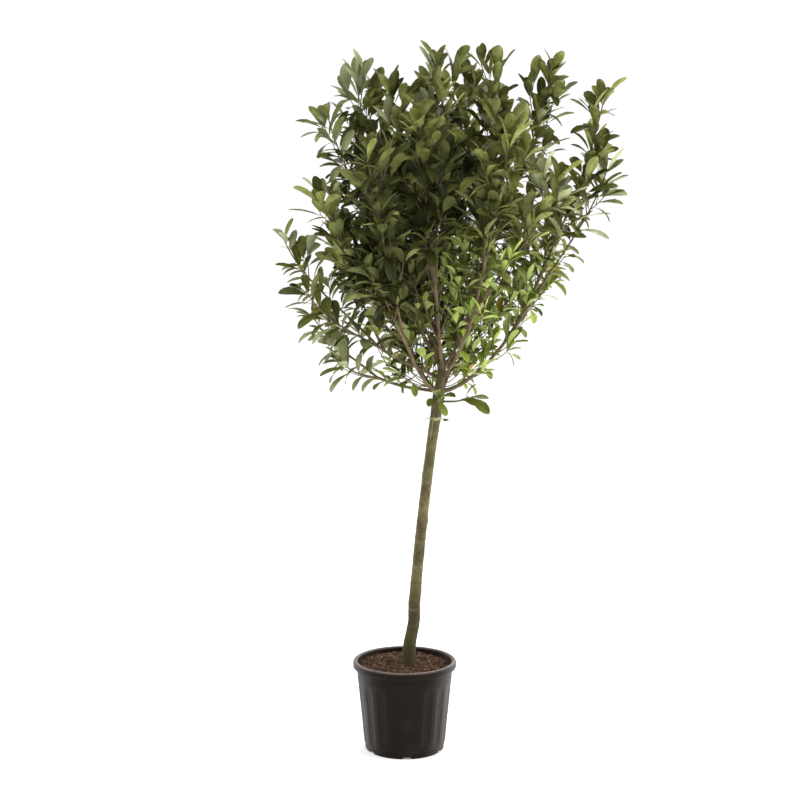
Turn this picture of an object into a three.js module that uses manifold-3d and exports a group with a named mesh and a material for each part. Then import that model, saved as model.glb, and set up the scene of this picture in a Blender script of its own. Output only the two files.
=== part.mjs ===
// Potted star magnolia: a half-standard tree with a clear leaning stem and a vase-shaped leafy crown,
// planted in a round black nursery pot. Millimetres, +Z up, +X to the right and -Y to the front.
// The origin is the middle of the pot's flat underside.
import * as THREE from 'three';
import { mergeVertices } from 'three/addons/utils/BufferGeometryUtils.js';
import Module from 'manifold-3d';

const wasm = await Module();
wasm.setup();

// Clear gap between two pieces that touch on the real plant
const GAP = 0.3;

// Corners this close are made one, and none may lie closer than the second value
const SAME_CORNER = 0.001;
const CLOSEST_CORNERS = 0.003;

// Nursery pot: a tapering fluted wall on a notched foot ring, under a rolled lip
const POT = {
  height: 286,
  lipRadius: 165,
  lipHeight: 22,
  bandRadius: 151.5,
  wallTop: 150.5,
  wallBottom: 130,
  bandHeight: 36,
  bandDraft: 1,
  footRadius: 126,
  footHeight: 22,
  footWidth: 13,
  floorHeight: 10,
  hubRadius: 40,
  wallThickness: 2.5,
  ease: 4,
  fluteCount: 18,
  fluteDepth: 2,
  notchCount: 6,
  notchWidth: 30,
  notchHeight: 8,
  notchTurn: 0.55,
};
const SOIL = { top: 272, mound: 3, flatRadius: 80 };

// Trunk: leans to the right, bows back a little and has a small kink just above the soil
const TRUNK = {
  footX: 15,
  height: 976,
  lean: 108,
  bow: 10.5,
  kink: 4,
  kinkSpan: 0.2,
  flareRadius: 24,
  flareSpan: 0.07,
  footRadius: 19,
  midRadius: 16.2,
  taperSpan: 0.6,
  headRadius: 19,
  headSpan: 0.11,
  tipRadius: 8,
  sides: 10,
  steps: 18,
};

// Three levels of the head where boughs leave the trunk: height above the soil and angle above level
const HEAD_LEVELS = {
  low: { height: 874, elevation: 8 },
  mid: { height: 911, elevation: 34 },
  high: { height: 945, elevation: 50 },
};
const HEAD_HEIGHT = HEAD_LEVELS.low.height;

// Each bough is a direction about the head, a reach out and a rise above the head, and the leafy
// branches it carries. A branch is the direction, reach and rise of its tip.
const BOUGHS = [
  { name: 'left_low', level: 'low', azimuth: 181, reach: 195, rise: 46, radius: 5.2,
    branches: [[176, 400, 240], [188, 300, 90]] },
  { name: 'left_mid', level: 'mid', azimuth: 176, reach: 200, rise: 150, radius: 5.6,
    branches: [[180, 485, 475], [163, 350, 610], [196, 420, 310]] },
  { name: 'left_upper', level: 'high', azimuth: 152, reach: 100, rise: 330, radius: 5.4,
    branches: [[169, 265, 965], [181, 345, 850], [133, 270, 780]] },
  { name: 'centre_front', level: 'high', azimuth: 262, reach: 90, rise: 340, radius: 5.4,
    branches: [[262, 75, 1000], [203, 165, 915], [256, 275, 830]] },
  { name: 'right_upper', level: 'high', azimuth: 10, reach: 120, rise: 380, radius: 5.8,
    branches: [[14, 185, 995], [1, 348, 992]] },
  { name: 'right', level: 'low', azimuth: 356, reach: 280, rise: 270, radius: 7.2,
    branches: [[355, 515, 690], [359, 505, 905], [14, 380, 480]] },
  { name: 'right_inner', level: 'mid', azimuth: 38, reach: 195, rise: 220, radius: 5.6,
    branches: [[39, 420, 690], [27, 345, 390]] },
  { name: 'front_left', level: 'low', azimuth: 234, reach: 190, rise: 180, radius: 6,
    branches: [[240, 420, 705], [218, 410, 545], [236, 330, 360]] },
  { name: 'front_right', level: 'mid', azimuth: 303, reach: 200, rise: 290, radius: 5.6,
    branches: [[298, 395, 780], [326, 415, 640]] },
  { name: 'back_left', level: 'low', azimuth: 124, reach: 195, rise: 190, radius: 6,
    branches: [[117, 430, 700], [137, 425, 500], [112, 340, 360]] },
  { name: 'back_right', level: 'low', azimuth: 68, reach: 190, rise: 220, radius: 6,
    branches: [[77, 410, 790], [60, 450, 590], [85, 360, 380]] },
  { name: 'back_upper', level: 'mid', azimuth: 98, reach: 85, rise: 330, radius: 5.4,
    branches: [[96, 235, 960], [68, 250, 985]] },
];
const BOUGH = { tipRadius: 4.4, lift: 16, bend: 0.3, sides: 5, steps: 8 };

// Short shoots straight from the trunk, just under the boughs
const SHOOTS = [
  { name: 'right', height: 842, branch: [335, 100, -10] },
  { name: 'front', height: 846, branch: [268, 70, -15] },
];

// Leafy branch: a three-sided stem, its twigs and the leaves on both
const SPRAY = {
  leaveBough: [1, 0.84, 0.7],
  stemFollow: 0.33,
  stemLift: 0.7,
  stemBend: 0.35,
  stemRadius: 3.9,
  stemShares: [1, 1.03, 1.06],
  stemTip: 2.8,
  stemSteps: 6,
  bareShare: 0.16,
  stemBare: 0.3,
  twigBare: 0.4,
  twigSpacing: 62,
  twigLength: 84,
  twigShares: [1.15, 0.6],
  twigVary: [0.8, 1.2],
  twigLast: 0.92,
  twigAngle: 50,
  twigRadius: 1.8,
  twigTip: 1.7,
  twigSteps: 1,
  twigLift: 0.25,
  twigChecks: 3,
  leafSpacing: 42,
  tuftLeaves: 3,
  crownLeaves: 4,
  tuftStep: 5,
  reach: 165,
  margin: 5,
  limbMargin: 4,
};

// Leaf: larger than life and keeled, at its own angle from the limb along it and in a tuft at its tip
const LEAF = {
  length: 108,
  width: 52,
  thickness: 4,
  widest: 0.58,
  checks: [0.33, 0.58, 0.8, 1],
  sunk: 0.6,
  alongAngle: 47,
  tuftAngle: 30,
  angleVary: [0.85, 1.15],
  sizeVary: [0.82, 1.12],
  faceLift: 0.35,
  room: 14,
};

// Twine round the trunk under the head
const TIE = {
  height: 790,
  thickness: 3.2,
  sides: 5,
  steps: 12,
  tails: [
    { azimuth: 200, elevation: 12, length: 22 },
    { azimuth: 345, elevation: -10, length: 32 },
  ],
};

const LOOKS = {
  pot: { color: 0x2b2724, roughness: 0.6 },
  soil: { color: 0x4a3527, roughness: 0.95 },
  trunk: { color: 0x6b6440, roughness: 0.85 },
  bough: { color: 0x6a5844, roughness: 0.8 },
  leaf: { color: 0x4b5426, roughness: 0.5 },
  tie: { color: 0xb9b58c, roughness: 0.8 },
};
const GOLDEN_ANGLE = Math.PI * (3 - Math.sqrt(5));
const UP = new THREE.Vector3(0, 0, 1);
const SEED = 34;

// Multiplying rule for repeatable numbers: its factor and span, and how a seed sets its first state
const DRAW = { factor: 16807, span: 2147483647, seedShare: 7919, start: 104729 };

// A limb steeper than this takes its sides from the X axis
const STEEP = 0.9;

// Points along each limb that the spaces are measured from
const SPACE_STEPS = 24;

const radians = THREE.MathUtils.degToRad;
const mix = THREE.MathUtils.lerp;

// Repeatable numbers from 0 to 1
function seeded(seed) {
  let state = seed * DRAW.seedShare + DRAW.start;
  const draw = () => {
    state = (state * DRAW.factor) % DRAW.span;
    return state / DRAW.span;
  };
  draw();
  draw();
  return draw;
}

function heading(azimuth, elevation) {
  const flat = Math.cos(radians(elevation));
  return new THREE.Vector3(
    flat * Math.cos(radians(azimuth)),
    flat * Math.sin(radians(azimuth)),
    Math.sin(radians(elevation)),
  );
}

// Solids and meshes

// A closed geometry as a solid that can be joined and cut
function toSolid(geometry) {
  const plain = geometry.index ? geometry.toNonIndexed() : geometry.clone();
  plain.deleteAttribute('normal');
  plain.deleteAttribute('uv');
  const merged = mergeVertices(plain, SAME_CORNER);
  return new wasm.Manifold(new wasm.Mesh({
    numProp: 3,
    vertProperties: merged.getAttribute('position').array,
    triVerts: new Uint32Array(merged.index.array),
  }));
}

function toGeometry(solid) {
  const made = solid.getMesh();
  return new THREE.BufferGeometry()
    .setAttribute('position', new THREE.BufferAttribute(made.vertProperties, 3))
    .setIndex(new THREE.BufferAttribute(made.triVerts, 1));
}

// The largest body of a solid, which leaves out loose scraps and fills sealed hollows
function wholeBody(solid) {
  return solid.decompose().reduce((best, body) => (body.volume() > best.volume() ? body : best));
}

// True where no two corners of a solid nearly meet
function isCrisp(solid) {
  const { vertProperties } = solid.getMesh();
  const corners = Array.from({ length: vertProperties.length / 3 }, (_, i) => (
    vertProperties.subarray(3 * i, 3 * i + 3)));
  corners.sort((a, b) => a[0] - b[0]);
  return corners.every((corner, i) => {
    for (let j = i + 1; j < corners.length && corners[j][0] - corner[0] < CLOSEST_CORNERS; j += 1) {
      const apart = Math.hypot(corners[j][1] - corner[1], corners[j][2] - corner[2]);
      if (apart < CLOSEST_CORNERS) return false;
    }
    return true;
  });
}

// Adds pieces one by one to a body and leaves out any whose joint would have corners that nearly meet
function joined(body, pieces) {
  return pieces.reduce((whole, piece) => {
    const next = whole.add(piece);
    return isCrisp(next) ? next : whole;
  }, body);
}

function addPiece(group, name, solid, look) {
  const material = new THREE.MeshStandardMaterial({ ...look, metalness: 0 });
  const piece = new THREE.Mesh(toGeometry(solid), material);
  piece.name = name;
  group.add(piece);
}

// Moves each point of a unit form to place(along, across, over), with along from its foot
function shaped(geometry, place) {
  const spots = geometry.getAttribute('position');
  for (let i = 0; i < spots.count; i += 1) {
    const spot = place(spots.getY(i) + 0.5, spots.getX(i), spots.getZ(i));
    spots.setXYZ(i, spot.x, spot.y, spot.z);
  }
  return geometry;
}

function samples(curve, count) {
  return Array.from({ length: count + 1 }, (_, i) => curve.getPoint(i / count));
}

// Straight runs between points taken along a curve, so that what grows on a limb is rooted in it
class Runs extends THREE.Curve {
  constructor(curve, count) {
    super();
    this.points = samples(curve, count);
  }

  getPoint(along, target = new THREE.Vector3()) {
    const place = along * (this.points.length - 1);
    const run = Math.min(Math.floor(place), this.points.length - 2);
    return target.lerpVectors(this.points[run], this.points[run + 1], place - run);
  }
}

// A closed limb along a curve, with a radius for each share of its length
function limb(curve, radiusAt, sides, steps) {
  const frames = curve.computeFrenetFrames(steps);
  const tube = new THREE.CylinderGeometry(1, 1, 1, sides, steps);
  return toSolid(shaped(tube, (along, across, over) => {
    const step = Math.round(along * steps);
    const normal = frames.normals[step];
    const level = new THREE.Vector3().crossVectors(normal, frames.tangents[step]);
    return curve.getPoint(along)
      .addScaledVector(normal, across * radiusAt(along))
      .addScaledVector(level, over * radiusAt(along));
  }));
}

// Pot and soil

// A turned form from [radius, height] points. A third value is the depth of the flutes at that point.
function turned(profile) {
  const points = profile.map(([radius, height]) => new THREE.Vector2(radius, height));
  const form = new THREE.LatheGeometry(points, 2 * POT.fluteCount);
  const spots = form.getAttribute('position');
  for (let i = 0; i < spots.count; i += 1) {
    const isHollow = Math.floor(i / profile.length) % 2 === 1;
    const [radius, , depth = 0] = profile[i % profile.length];
    const share = isHollow && depth > 0 ? 1 - depth / radius : 1;
    spots.setXYZ(i, spots.getX(i) * share, spots.getY(i), spots.getZ(i) * share);
  }
  return form.rotateX(Math.PI / 2);
}

const lipFoot = POT.height - POT.lipHeight;
const bandFoot = lipFoot - POT.bandHeight;
const potFloor = POT.floorHeight + POT.wallThickness;

function wallRadius(height) {
  return mix(POT.wallBottom, POT.wallTop, (height - POT.footHeight) / (bandFoot - POT.footHeight));
}

// The inside stays clear of the flutes
function innerRadius(height) {
  return wallRadius(height) - POT.fluteDepth - POT.wallThickness;
}

function potSolid() {
  const { ease, fluteDepth, lipRadius, footRadius } = POT;
  const footInside = footRadius - POT.footWidth;
  const fluteFoot = POT.footHeight + 2 * ease;
  const fluteTop = bandFoot - ease;
  const wall = toSolid(turned([
    [0, 0], [POT.hubRadius - ease, 0], [POT.hubRadius, POT.floorHeight],
    [footInside, POT.floorHeight], [footInside, 0],
    [footRadius, 0], [footRadius, POT.footHeight], [POT.wallBottom, POT.footHeight + ease],
    [wallRadius(fluteFoot), fluteFoot, fluteDepth], [wallRadius(fluteTop), fluteTop, fluteDepth],
    [POT.bandRadius, bandFoot], [POT.bandRadius + POT.bandDraft, lipFoot],
    [lipRadius - ease / 2, lipFoot], [lipRadius, lipFoot + ease], [lipRadius, POT.height - ease],
    [lipRadius - ease, POT.height], [lipRadius - 2 * ease, POT.height],
    [innerRadius(lipFoot), lipFoot], [innerRadius(potFloor), potFloor], [0, potFloor],
  ]));
  const notches = Array.from({ length: POT.notchCount }, (_, i) => {
    const notch = new THREE.BoxGeometry(3 * POT.footWidth, POT.notchWidth, 2 * POT.notchHeight);
    notch.translate(footRadius, 0, 0);
    notch.rotateZ((i + POT.notchTurn) * 2 * Math.PI / POT.notchCount);
    return toSolid(notch);
  });
  return wall.subtract(wasm.Manifold.union(notches));
}

function soilSolid() {
  const foot = potFloor + GAP;
  const edge = SOIL.top - SOIL.mound;
  return toSolid(turned([
    [0, foot], [innerRadius(foot) - GAP, foot], [innerRadius(edge) - GAP, edge],
    [SOIL.flatRadius, SOIL.top], [0, SOIL.top],
  ]));
}

// Trunk

class TrunkLine extends THREE.Curve {
  getPoint(along, target = new THREE.Vector3()) {
    const kink = TRUNK.kink * Math.sin(2 * Math.PI * Math.min(1, along / TRUNK.kinkSpan));
    const x = TRUNK.footX + TRUNK.lean * along - TRUNK.bow * Math.sin(Math.PI * along) - kink;
    return target.set(x, 0, SOIL.top + GAP + TRUNK.height * along);
  }
}
const trunkLine = new TrunkLine();

function trunkRadius(along) {
  const flare = (TRUNK.flareRadius - TRUNK.footRadius) * Math.exp(-along / TRUNK.flareSpan);
  const stem = mix(TRUNK.footRadius, TRUNK.midRadius, Math.min(1, along / TRUNK.taperSpan)) + flare;
  const head = THREE.MathUtils.smoothstep(along, 1 - 2 * TRUNK.headSpan, 1 - TRUNK.headSpan);
  const tip = THREE.MathUtils.smoothstep(along, 1 - TRUNK.headSpan, 1);
  return mix(mix(stem, TRUNK.headRadius, head), TRUNK.tipRadius, tip);
}

// The trunk's rings keep level, so its foot is a flat cut on the soil
function trunkSolid(extra) {
  const tube = new THREE.CylinderGeometry(1, 1, 1, TRUNK.sides, TRUNK.steps);
  return toSolid(shaped(tube, (along, across, over) => {
    const radius = trunkRadius(along) + extra;
    return trunkLine.getPoint(along).add(new THREE.Vector3(across * radius, -over * radius, 0));
  }));
}

// Boughs

const head = trunkLine.getPoint(HEAD_HEIGHT / TRUNK.height);

function aroundHead(azimuth, reach, rise) {
  return heading(azimuth, 0).multiplyScalar(reach).add(head).addScaledVector(UP, rise);
}

// A bough leaves the trunk at its level's angle and bends up to end steeper than it runs
function boughLine(bough) {
  const level = HEAD_LEVELS[bough.level];
  const start = trunkLine.getPoint(level.height / TRUNK.height);
  const tip = aroundHead(bough.azimuth, bough.reach, bough.rise);
  const span = start.distanceTo(tip);
  const slope = THREE.MathUtils.radToDeg(Math.asin((tip.z - start.z) / span));
  const leave = heading(bough.azimuth, level.elevation).multiplyScalar(BOUGH.bend * span);
  const arrive = heading(bough.azimuth, slope + BOUGH.lift).multiplyScalar(-BOUGH.bend * span);
  const curve = new THREE.CubicBezierCurve3(start, leave.add(start), arrive.add(tip), tip);
  return new Runs(curve, BOUGH.steps);
}

function boughRadius(bough, extra) {
  return (along) => mix(bough.radius, BOUGH.tipRadius, Math.sqrt(along)) + extra;
}

// Leafy branches

// A stem leaves partly along the limb it grows from and turns up towards its own tip
function stemLine(start, way, tip) {
  const bend = SPRAY.stemBend * start.distanceTo(tip);
  const chord = tip.clone().sub(start).normalize();
  const leave = chord.clone().addScaledVector(way, SPRAY.stemFollow).normalize().multiplyScalar(bend);
  const arrive = chord.clone().addScaledVector(UP, SPRAY.stemLift).normalize().multiplyScalar(-bend);
  const curve = new THREE.CubicBezierCurve3(start, leave.add(start), arrive.add(tip), tip);
  return new Runs(curve, SPRAY.stemSteps);
}

function nearest(points, spot) {
  return Math.min(...points.map((point) => point.distanceTo(spot)));
}

// A direction that leans from a limb by an angle, on the side given by a turn about it
function leaning(tangent, turn, angle) {
  const guide = Math.abs(tangent.z) > STEEP ? new THREE.Vector3(1, 0, 0) : UP;
  const side = new THREE.Vector3().crossVectors(tangent, guide).normalize().applyAxisAngle(tangent, turn);
  return tangent.clone().multiplyScalar(Math.cos(angle)).addScaledVector(side, Math.sin(angle));
}

// Leaves in a golden spiral along a limb from a bare share of it, and a tuft of them at its tip
function leavesAlong(curve, bare, spacing, tuft, random) {
  const length = curve.getLength();
  const count = Math.max(1, Math.round(length * (1 - bare) / spacing));
  const leaves = [];
  const put = (along, angle, turn) => {
    const tangent = curve.getTangent(along);
    const axis = leaning(tangent, turn, radians(angle * mix(...LEAF.angleVary, random())));
    const face = tangent.clone().addScaledVector(UP, LEAF.faceLift);
    face.addScaledVector(axis, -face.dot(axis)).normalize();
    const size = LEAF.length * mix(...LEAF.sizeVary, random());
    leaves.push({ root: curve.getPoint(along), axis, face, length: size });
  };
  const first = 2 * Math.PI * random();
  for (let i = 0; i < count; i += 1) {
    put(mix(bare, 1, i / count), LEAF.alongAngle, first + i * GOLDEN_ANGLE);
  }
  for (let i = 0; i < tuft; i += 1) {
    put(1 - (i + 1) * SPRAY.tuftStep / length, LEAF.tuftAngle, first + i * 2 * Math.PI / tuft);
  }
  return leaves;
}

// A straight twig leaves its stem at an angle and is lifted towards the light
function twigLine(stem, along, turn, length) {
  const root = stem.getPoint(along);
  const way = leaning(stem.getTangent(along), turn, radians(SPRAY.twigAngle));
  const tip = root.clone().addScaledVector(way, length).addScaledVector(UP, SPRAY.twigLift * length);
  return new THREE.LineCurve3(root, tip);
}

// Where a leaf's point lies: along its blade, across it and over its face
function leafPoint(leaf, along, across, over) {
  const side = new THREE.Vector3().crossVectors(leaf.face, leaf.axis);
  return leaf.root.clone()
    .addScaledVector(leaf.axis, leaf.length * along)
    .addScaledVector(side, across)
    .addScaledVector(leaf.face, over);
}

// A leaf is a three-sided double cone, flattened to a keeled blade with its root sunk in the twig
function leafSolid(leaf) {
  const half = LEAF.width / 2 * leaf.length / LEAF.length;
  const blade = new THREE.SphereGeometry(1, 3, 2);
  return toSolid(shaped(blade, (height, over, across) => {
    if (height > 1) return leafPoint(leaf, 1, 0, 0);
    if (height < 0) return leafPoint(leaf, -LEAF.sunk / leaf.length, 0, 0);
    if (over < 0) return leafPoint(leaf, LEAF.widest, 0, -LEAF.thickness);
    return leafPoint(leaf, LEAF.widest, half * Math.sign(across), 0);
  }));
}

// A spray keeps to the space that lies nearer its own stem than any other, and clear of every limb
function fits(spot, spray, crown) {
  const own = nearest(spray.points, spot);
  if (own > SPRAY.reach) return false;
  const alone = crown.sprays.every((other) => other === spray
    || nearest(other.points, spot) > own + 2 * SPRAY.margin);
  return alone && crown.limbs.every(({ point, radius }) => (
    point.distanceTo(spot) > radius + SPRAY.limbMargin));
}

function leafSpots(leaf) {
  const middle = LEAF.checks.map((along) => leafPoint(leaf, along, 0, 0));
  const edges = [-1, 1].map((side) => leafPoint(leaf, LEAF.widest, side * LEAF.width / 2, 0));
  return [...middle, ...edges];
}

// The stem is cut clear of the limb it grows from, and made a little thicker where the cut isn't crisp
function stemSolid({ line, clearance }) {
  const cuts = SPRAY.stemShares.map((share) => {
    const radiusAt = (along) => share * mix(SPRAY.stemRadius, SPRAY.stemTip, along);
    return limb(line, radiusAt, 3, SPRAY.stemSteps).subtract(clearance);
  });
  return cuts.find(isCrisp);
}

// Stem, twigs and leaves joined. A twig or leaf that would leave the space, touch a limb or cross
// another leaf is skipped, and so is a twig left without leaves.
function spraySolid(spray, crown) {
  const random = seeded(SEED + spray.seed);
  const { line } = spray;
  const pieces = [];
  const taken = [];
  const isFree = (spot) => fits(spot, spray, crown) && nearest(taken, spot) > LEAF.room;
  const addLeaves = (leaves) => {
    const before = pieces.length;
    leaves.forEach((leaf) => {
      const spots = leafSpots(leaf);
      if (!spots.every(isFree)) return;
      taken.push(...spots);
      pieces.push(leafSolid(leaf));
    });
    return pieces.length - before;
  };
  addLeaves(leavesAlong(line, SPRAY.stemBare, SPRAY.leafSpacing, SPRAY.crownLeaves, random));
  const count = Math.round(line.getLength() * (1 - SPRAY.bareShare) / SPRAY.twigSpacing);
  for (let i = 0; i < count; i += 1) {
    const along = mix(SPRAY.bareShare, SPRAY.twigLast, (i + random()) / count);
    const share = mix(...SPRAY.twigShares, along) * mix(...SPRAY.twigVary, random());
    const twig = twigLine(line, along, i * GOLDEN_ANGLE + random(), SPRAY.twigLength * share);
    const leaves = leavesAlong(twig, SPRAY.twigBare, SPRAY.leafSpacing, SPRAY.tuftLeaves, random);
    const spots = samples(twig, SPRAY.twigChecks).slice(1);
    if (spots.every(isFree) && addLeaves(leaves) > 0) {
      taken.push(...spots);
      pieces.push(limb(twig, (place) => mix(SPRAY.twigRadius, SPRAY.twigTip, place), 3, SPRAY.twigSteps));
    }
  }
  return wholeBody(joined(stemSolid(spray), pieces));
}

// Twine: a ring round the trunk with two loose tails
function tieSolid() {
  const along = TIE.height / TRUNK.height;
  const middle = trunkLine.getPoint(along);
  const half = TIE.thickness / 2;
  const radius = trunkRadius(along) + half + 2 * GAP;
  const ring = toSolid(new THREE.TorusGeometry(radius, half, TIE.sides, TIE.steps).translate(...middle));
  const tails = TIE.tails.map(({ azimuth, elevation, length }) => {
    const start = heading(azimuth, 0).multiplyScalar(radius).add(middle);
    const tip = heading(azimuth, elevation).multiplyScalar(length).add(start);
    return limb(new THREE.LineCurve3(start, tip), () => half, TIE.sides, 1);
  });
  return ring.add(wasm.Manifold.union(tails)).subtract(trunkSolid(GAP));
}

// Assembly

const magnolia = new THREE.Group();
addPiece(magnolia, 'pot', potSolid(), LOOKS.pot);
addPiece(magnolia, 'soil', soilSolid(), LOOKS.soil);
addPiece(magnolia, 'trunk', trunkSolid(0), LOOKS.trunk);
addPiece(magnolia, 'trunk_tie', tieSolid(), LOOKS.tie);

const trunkClearance = trunkSolid(GAP);
const boughs = BOUGHS.map((bough) => {
  const line = boughLine(bough);
  const solidOf = (extra) => limb(line, boughRadius(bough, extra), BOUGH.sides, BOUGH.steps);
  return { ...bough, line, solid: wholeBody(solidOf(0).subtract(trunkClearance)), clearance: solidOf(GAP) };
});
boughs.forEach((bough) => addPiece(magnolia, `bough_${bough.name}`, bough.solid, LOOKS.bough));

const boughSprays = boughs.flatMap((bough) => bough.branches.map((branch, order) => {
  const along = SPRAY.leaveBough[order];
  const line = stemLine(bough.line.getPoint(along), bough.line.getTangent(along), aroundHead(...branch));
  return { name: `foliage_${bough.name}_${order + 1}`, line, clearance: bough.clearance };
}));
const shootSprays = SHOOTS.map(({ name, height, branch }) => {
  const start = trunkLine.getPoint(height / TRUNK.height);
  const line = stemLine(start, heading(branch[0], 0), aroundHead(...branch));
  return { name: `foliage_${name}_shoot`, line, clearance: trunkClearance };
});
const sprays = [...boughSprays, ...shootSprays].map((spray, seed) => (
  { ...spray, seed, points: samples(spray.line, SPACE_STEPS) }));
const limbs = [
  ...samples(trunkLine, SPACE_STEPS).map((point, i) => ({ point, radius: trunkRadius(i / SPACE_STEPS) })),
  ...boughs.flatMap((bough) => samples(bough.line, SPACE_STEPS).map((point, i) => (
    { point, radius: boughRadius(bough, 0)(i / SPACE_STEPS) }))),
];
sprays.forEach((spray) => {
  addPiece(magnolia, spray.name, spraySolid(spray, { sprays, limbs }), LOOKS.leaf);
});

export default magnolia;
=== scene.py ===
import math

import bmesh
import bpy
import numpy as np
from mathutils import Matrix, Vector, noise


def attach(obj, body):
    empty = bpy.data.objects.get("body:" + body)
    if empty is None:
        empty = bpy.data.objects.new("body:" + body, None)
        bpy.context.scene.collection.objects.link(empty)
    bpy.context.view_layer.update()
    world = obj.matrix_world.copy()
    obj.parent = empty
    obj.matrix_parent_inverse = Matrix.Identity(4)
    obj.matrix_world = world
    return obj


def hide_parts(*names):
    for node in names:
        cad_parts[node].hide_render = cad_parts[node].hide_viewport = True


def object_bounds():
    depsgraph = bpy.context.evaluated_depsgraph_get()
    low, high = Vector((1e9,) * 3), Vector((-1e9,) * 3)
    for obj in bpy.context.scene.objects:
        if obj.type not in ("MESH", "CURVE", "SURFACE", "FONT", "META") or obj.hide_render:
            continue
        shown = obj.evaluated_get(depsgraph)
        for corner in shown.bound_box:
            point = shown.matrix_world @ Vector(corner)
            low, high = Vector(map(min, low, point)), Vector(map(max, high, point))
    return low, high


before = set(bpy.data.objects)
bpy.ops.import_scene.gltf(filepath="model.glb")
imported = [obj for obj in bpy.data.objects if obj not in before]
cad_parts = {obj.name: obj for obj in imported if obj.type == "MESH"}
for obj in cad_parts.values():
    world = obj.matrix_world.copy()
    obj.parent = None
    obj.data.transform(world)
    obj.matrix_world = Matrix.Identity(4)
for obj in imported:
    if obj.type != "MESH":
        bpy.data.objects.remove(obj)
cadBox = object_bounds()
scene = bpy.context.scene
print("frame loaded:", len(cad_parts), "nodes")

noiseSeed = 5
noise.seed_set(noiseSeed)  # noise vectors start from the clock otherwise
up = Vector((0, 0, 1))
frontAzimuth = 270
fullTurn = 2 * math.pi
goldenAngle = math.pi * (3 - math.sqrt(5))
mergeDistance = 1e-6
lehmer = {"factor": 16807, "modulus": 2147483647, "stride": 7919, "start": 104729}


# small helpers

def mix(low, high, share):
    return low + (high - low) * share


def smoothStep(value, low, high):
    share = min(1, max(0, (value - low) / (high - low)))
    return share * share * (3 - 2 * share)


def bell(value, spread):
    return math.exp(-(value / spread) ** 2)


def seeded(seed):  # repeatable numbers from 0 to 1
    state = [seed * lehmer["stride"] + lehmer["start"]]

    def draw():
        state[0] = state[0] * lehmer["factor"] % lehmer["modulus"]
        return state[0] / lehmer["modulus"]

    draw()
    draw()
    return draw


def swing(random):  # from -1 to 1
    return 2 * random() - 1


def heading(azimuth, elevation):
    flat = math.cos(math.radians(elevation))
    turn = math.radians(azimuth)
    return Vector((flat * math.cos(turn), flat * math.sin(turn), math.sin(math.radians(elevation))))


def turnFrom(turn, azimuth):  # the shorter way round
    return (turn - math.radians(azimuth) + math.pi) % fullTurn - math.pi


def bezier(a, b, c, d, share):
    rest = 1 - share
    return a * rest ** 3 + b * 3 * share * rest ** 2 + c * 3 * share ** 2 * rest + d * share ** 3


def bezierLine(a, b, c, d, steps):
    return [bezier(a, b, c, d, step / steps) for step in range(steps + 1)]


def lengthOf(points):
    return sum((b - a).length for a, b in zip(points, points[1:]))


def addPiece(name, mesh, materials, slot, *nodes):
    piece = bpy.data.objects.new(name, mesh)
    scene.collection.objects.link(piece)
    for material in materials:
        mesh.materials.append(material)
    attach(piece, "root")
    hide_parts(*nodes)


def meshFrom(bm, name, sharpAngle=None):
    mesh = bpy.data.meshes.new(name)
    bm.to_mesh(mesh)
    bm.free()
    mesh.shade_smooth()
    if sharpAngle:
        mesh.set_sharp_from_angle(angle=math.radians(sharpAngle))
    return mesh


def turned(profile, steps):  # a section spun round the middle
    bm = bmesh.new()
    corners = [bm.verts.new((radius, 0, height)) for radius, height in profile]
    edges = [bm.edges.new(pair) for pair in zip(corners, corners[1:])]
    bmesh.ops.spin(bm, geom=corners + edges, cent=(0, 0, 0), axis=(0, 0, 1), angle=fullTurn,
                   steps=steps, use_merge=True)
    bmesh.ops.remove_doubles(bm, verts=bm.verts, dist=mergeDistance)
    bmesh.ops.recalc_face_normals(bm, faces=bm.faces)
    return bm


def frames(points):  # a side and a level vector at each point, carried along without twist
    last = len(points) - 1
    tangents = [(points[min(i + 1, last)] - points[max(i - 1, 0)]).normalized() for i in range(last + 1)]
    side = tangents[0].orthogonal().normalized()
    for tangent in tangents:
        side = (side - tangent * side.dot(tangent)).normalized()
        yield side, tangent.cross(side)


def rollTube(bm, points, axes, sides, radiusAt):
    # a flat grid rolled round a line, seamed and closed at its ends
    rings = len(points) - 1
    grid = bmesh.ops.create_grid(bm, x_segments=sides, y_segments=rings, size=0.5)["verts"]
    for vert in grid:
        turn = fullTurn * (vert.co.x + 0.5)
        ring = round((vert.co.y + 0.5) * rings)
        side, level = axes[ring]
        outward = side * math.cos(turn) + level * math.sin(turn)
        vert.co = points[ring] + outward * radiusAt(ring / rings, turn)
    bmesh.ops.remove_doubles(bm, verts=grid, dist=mergeDistance)
    bmesh.ops.holes_fill(bm, edges=[edge for edge in bm.edges if edge.is_boundary], sides=0)


# materials: each one has its own Principled shader, and shared effects are groups

def colour(red, green, blue):  # from a screen colour of 0 to 255
    parts = [part / 255 for part in (red, green, blue)]
    return [part / 12.92 if part < 0.04045 else ((part + 0.055) / 1.055) ** 2.4 for part in parts] + [1]


def newMaterial(name, **values):
    material = bpy.data.materials.new(name)
    material.use_nodes = True
    shader = material.node_tree.nodes["Principled BSDF"]
    for socket, value in values.items():
        shader.inputs[socket.replace("_", " ")].default_value = value
    return material, material.node_tree, shader.inputs


def newGroup(name, colours, amounts):
    tree = bpy.data.node_groups.new(name, "ShaderNodeTree")
    for kind, labels in (("Color", colours), ("Float", amounts)):
        for label in labels:
            tree.interface.new_socket(label, in_out="INPUT", socket_type=f"NodeSocket{kind}")
    for label, kind in (("Color", "Color"), ("Roughness", "Float"), ("Height", "Float")):
        tree.interface.new_socket(label, in_out="OUTPUT", socket_type=f"NodeSocket{kind}")
    return tree, tree.nodes.new("NodeGroupInput").outputs, tree.nodes.new("NodeGroupOutput").inputs


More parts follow.
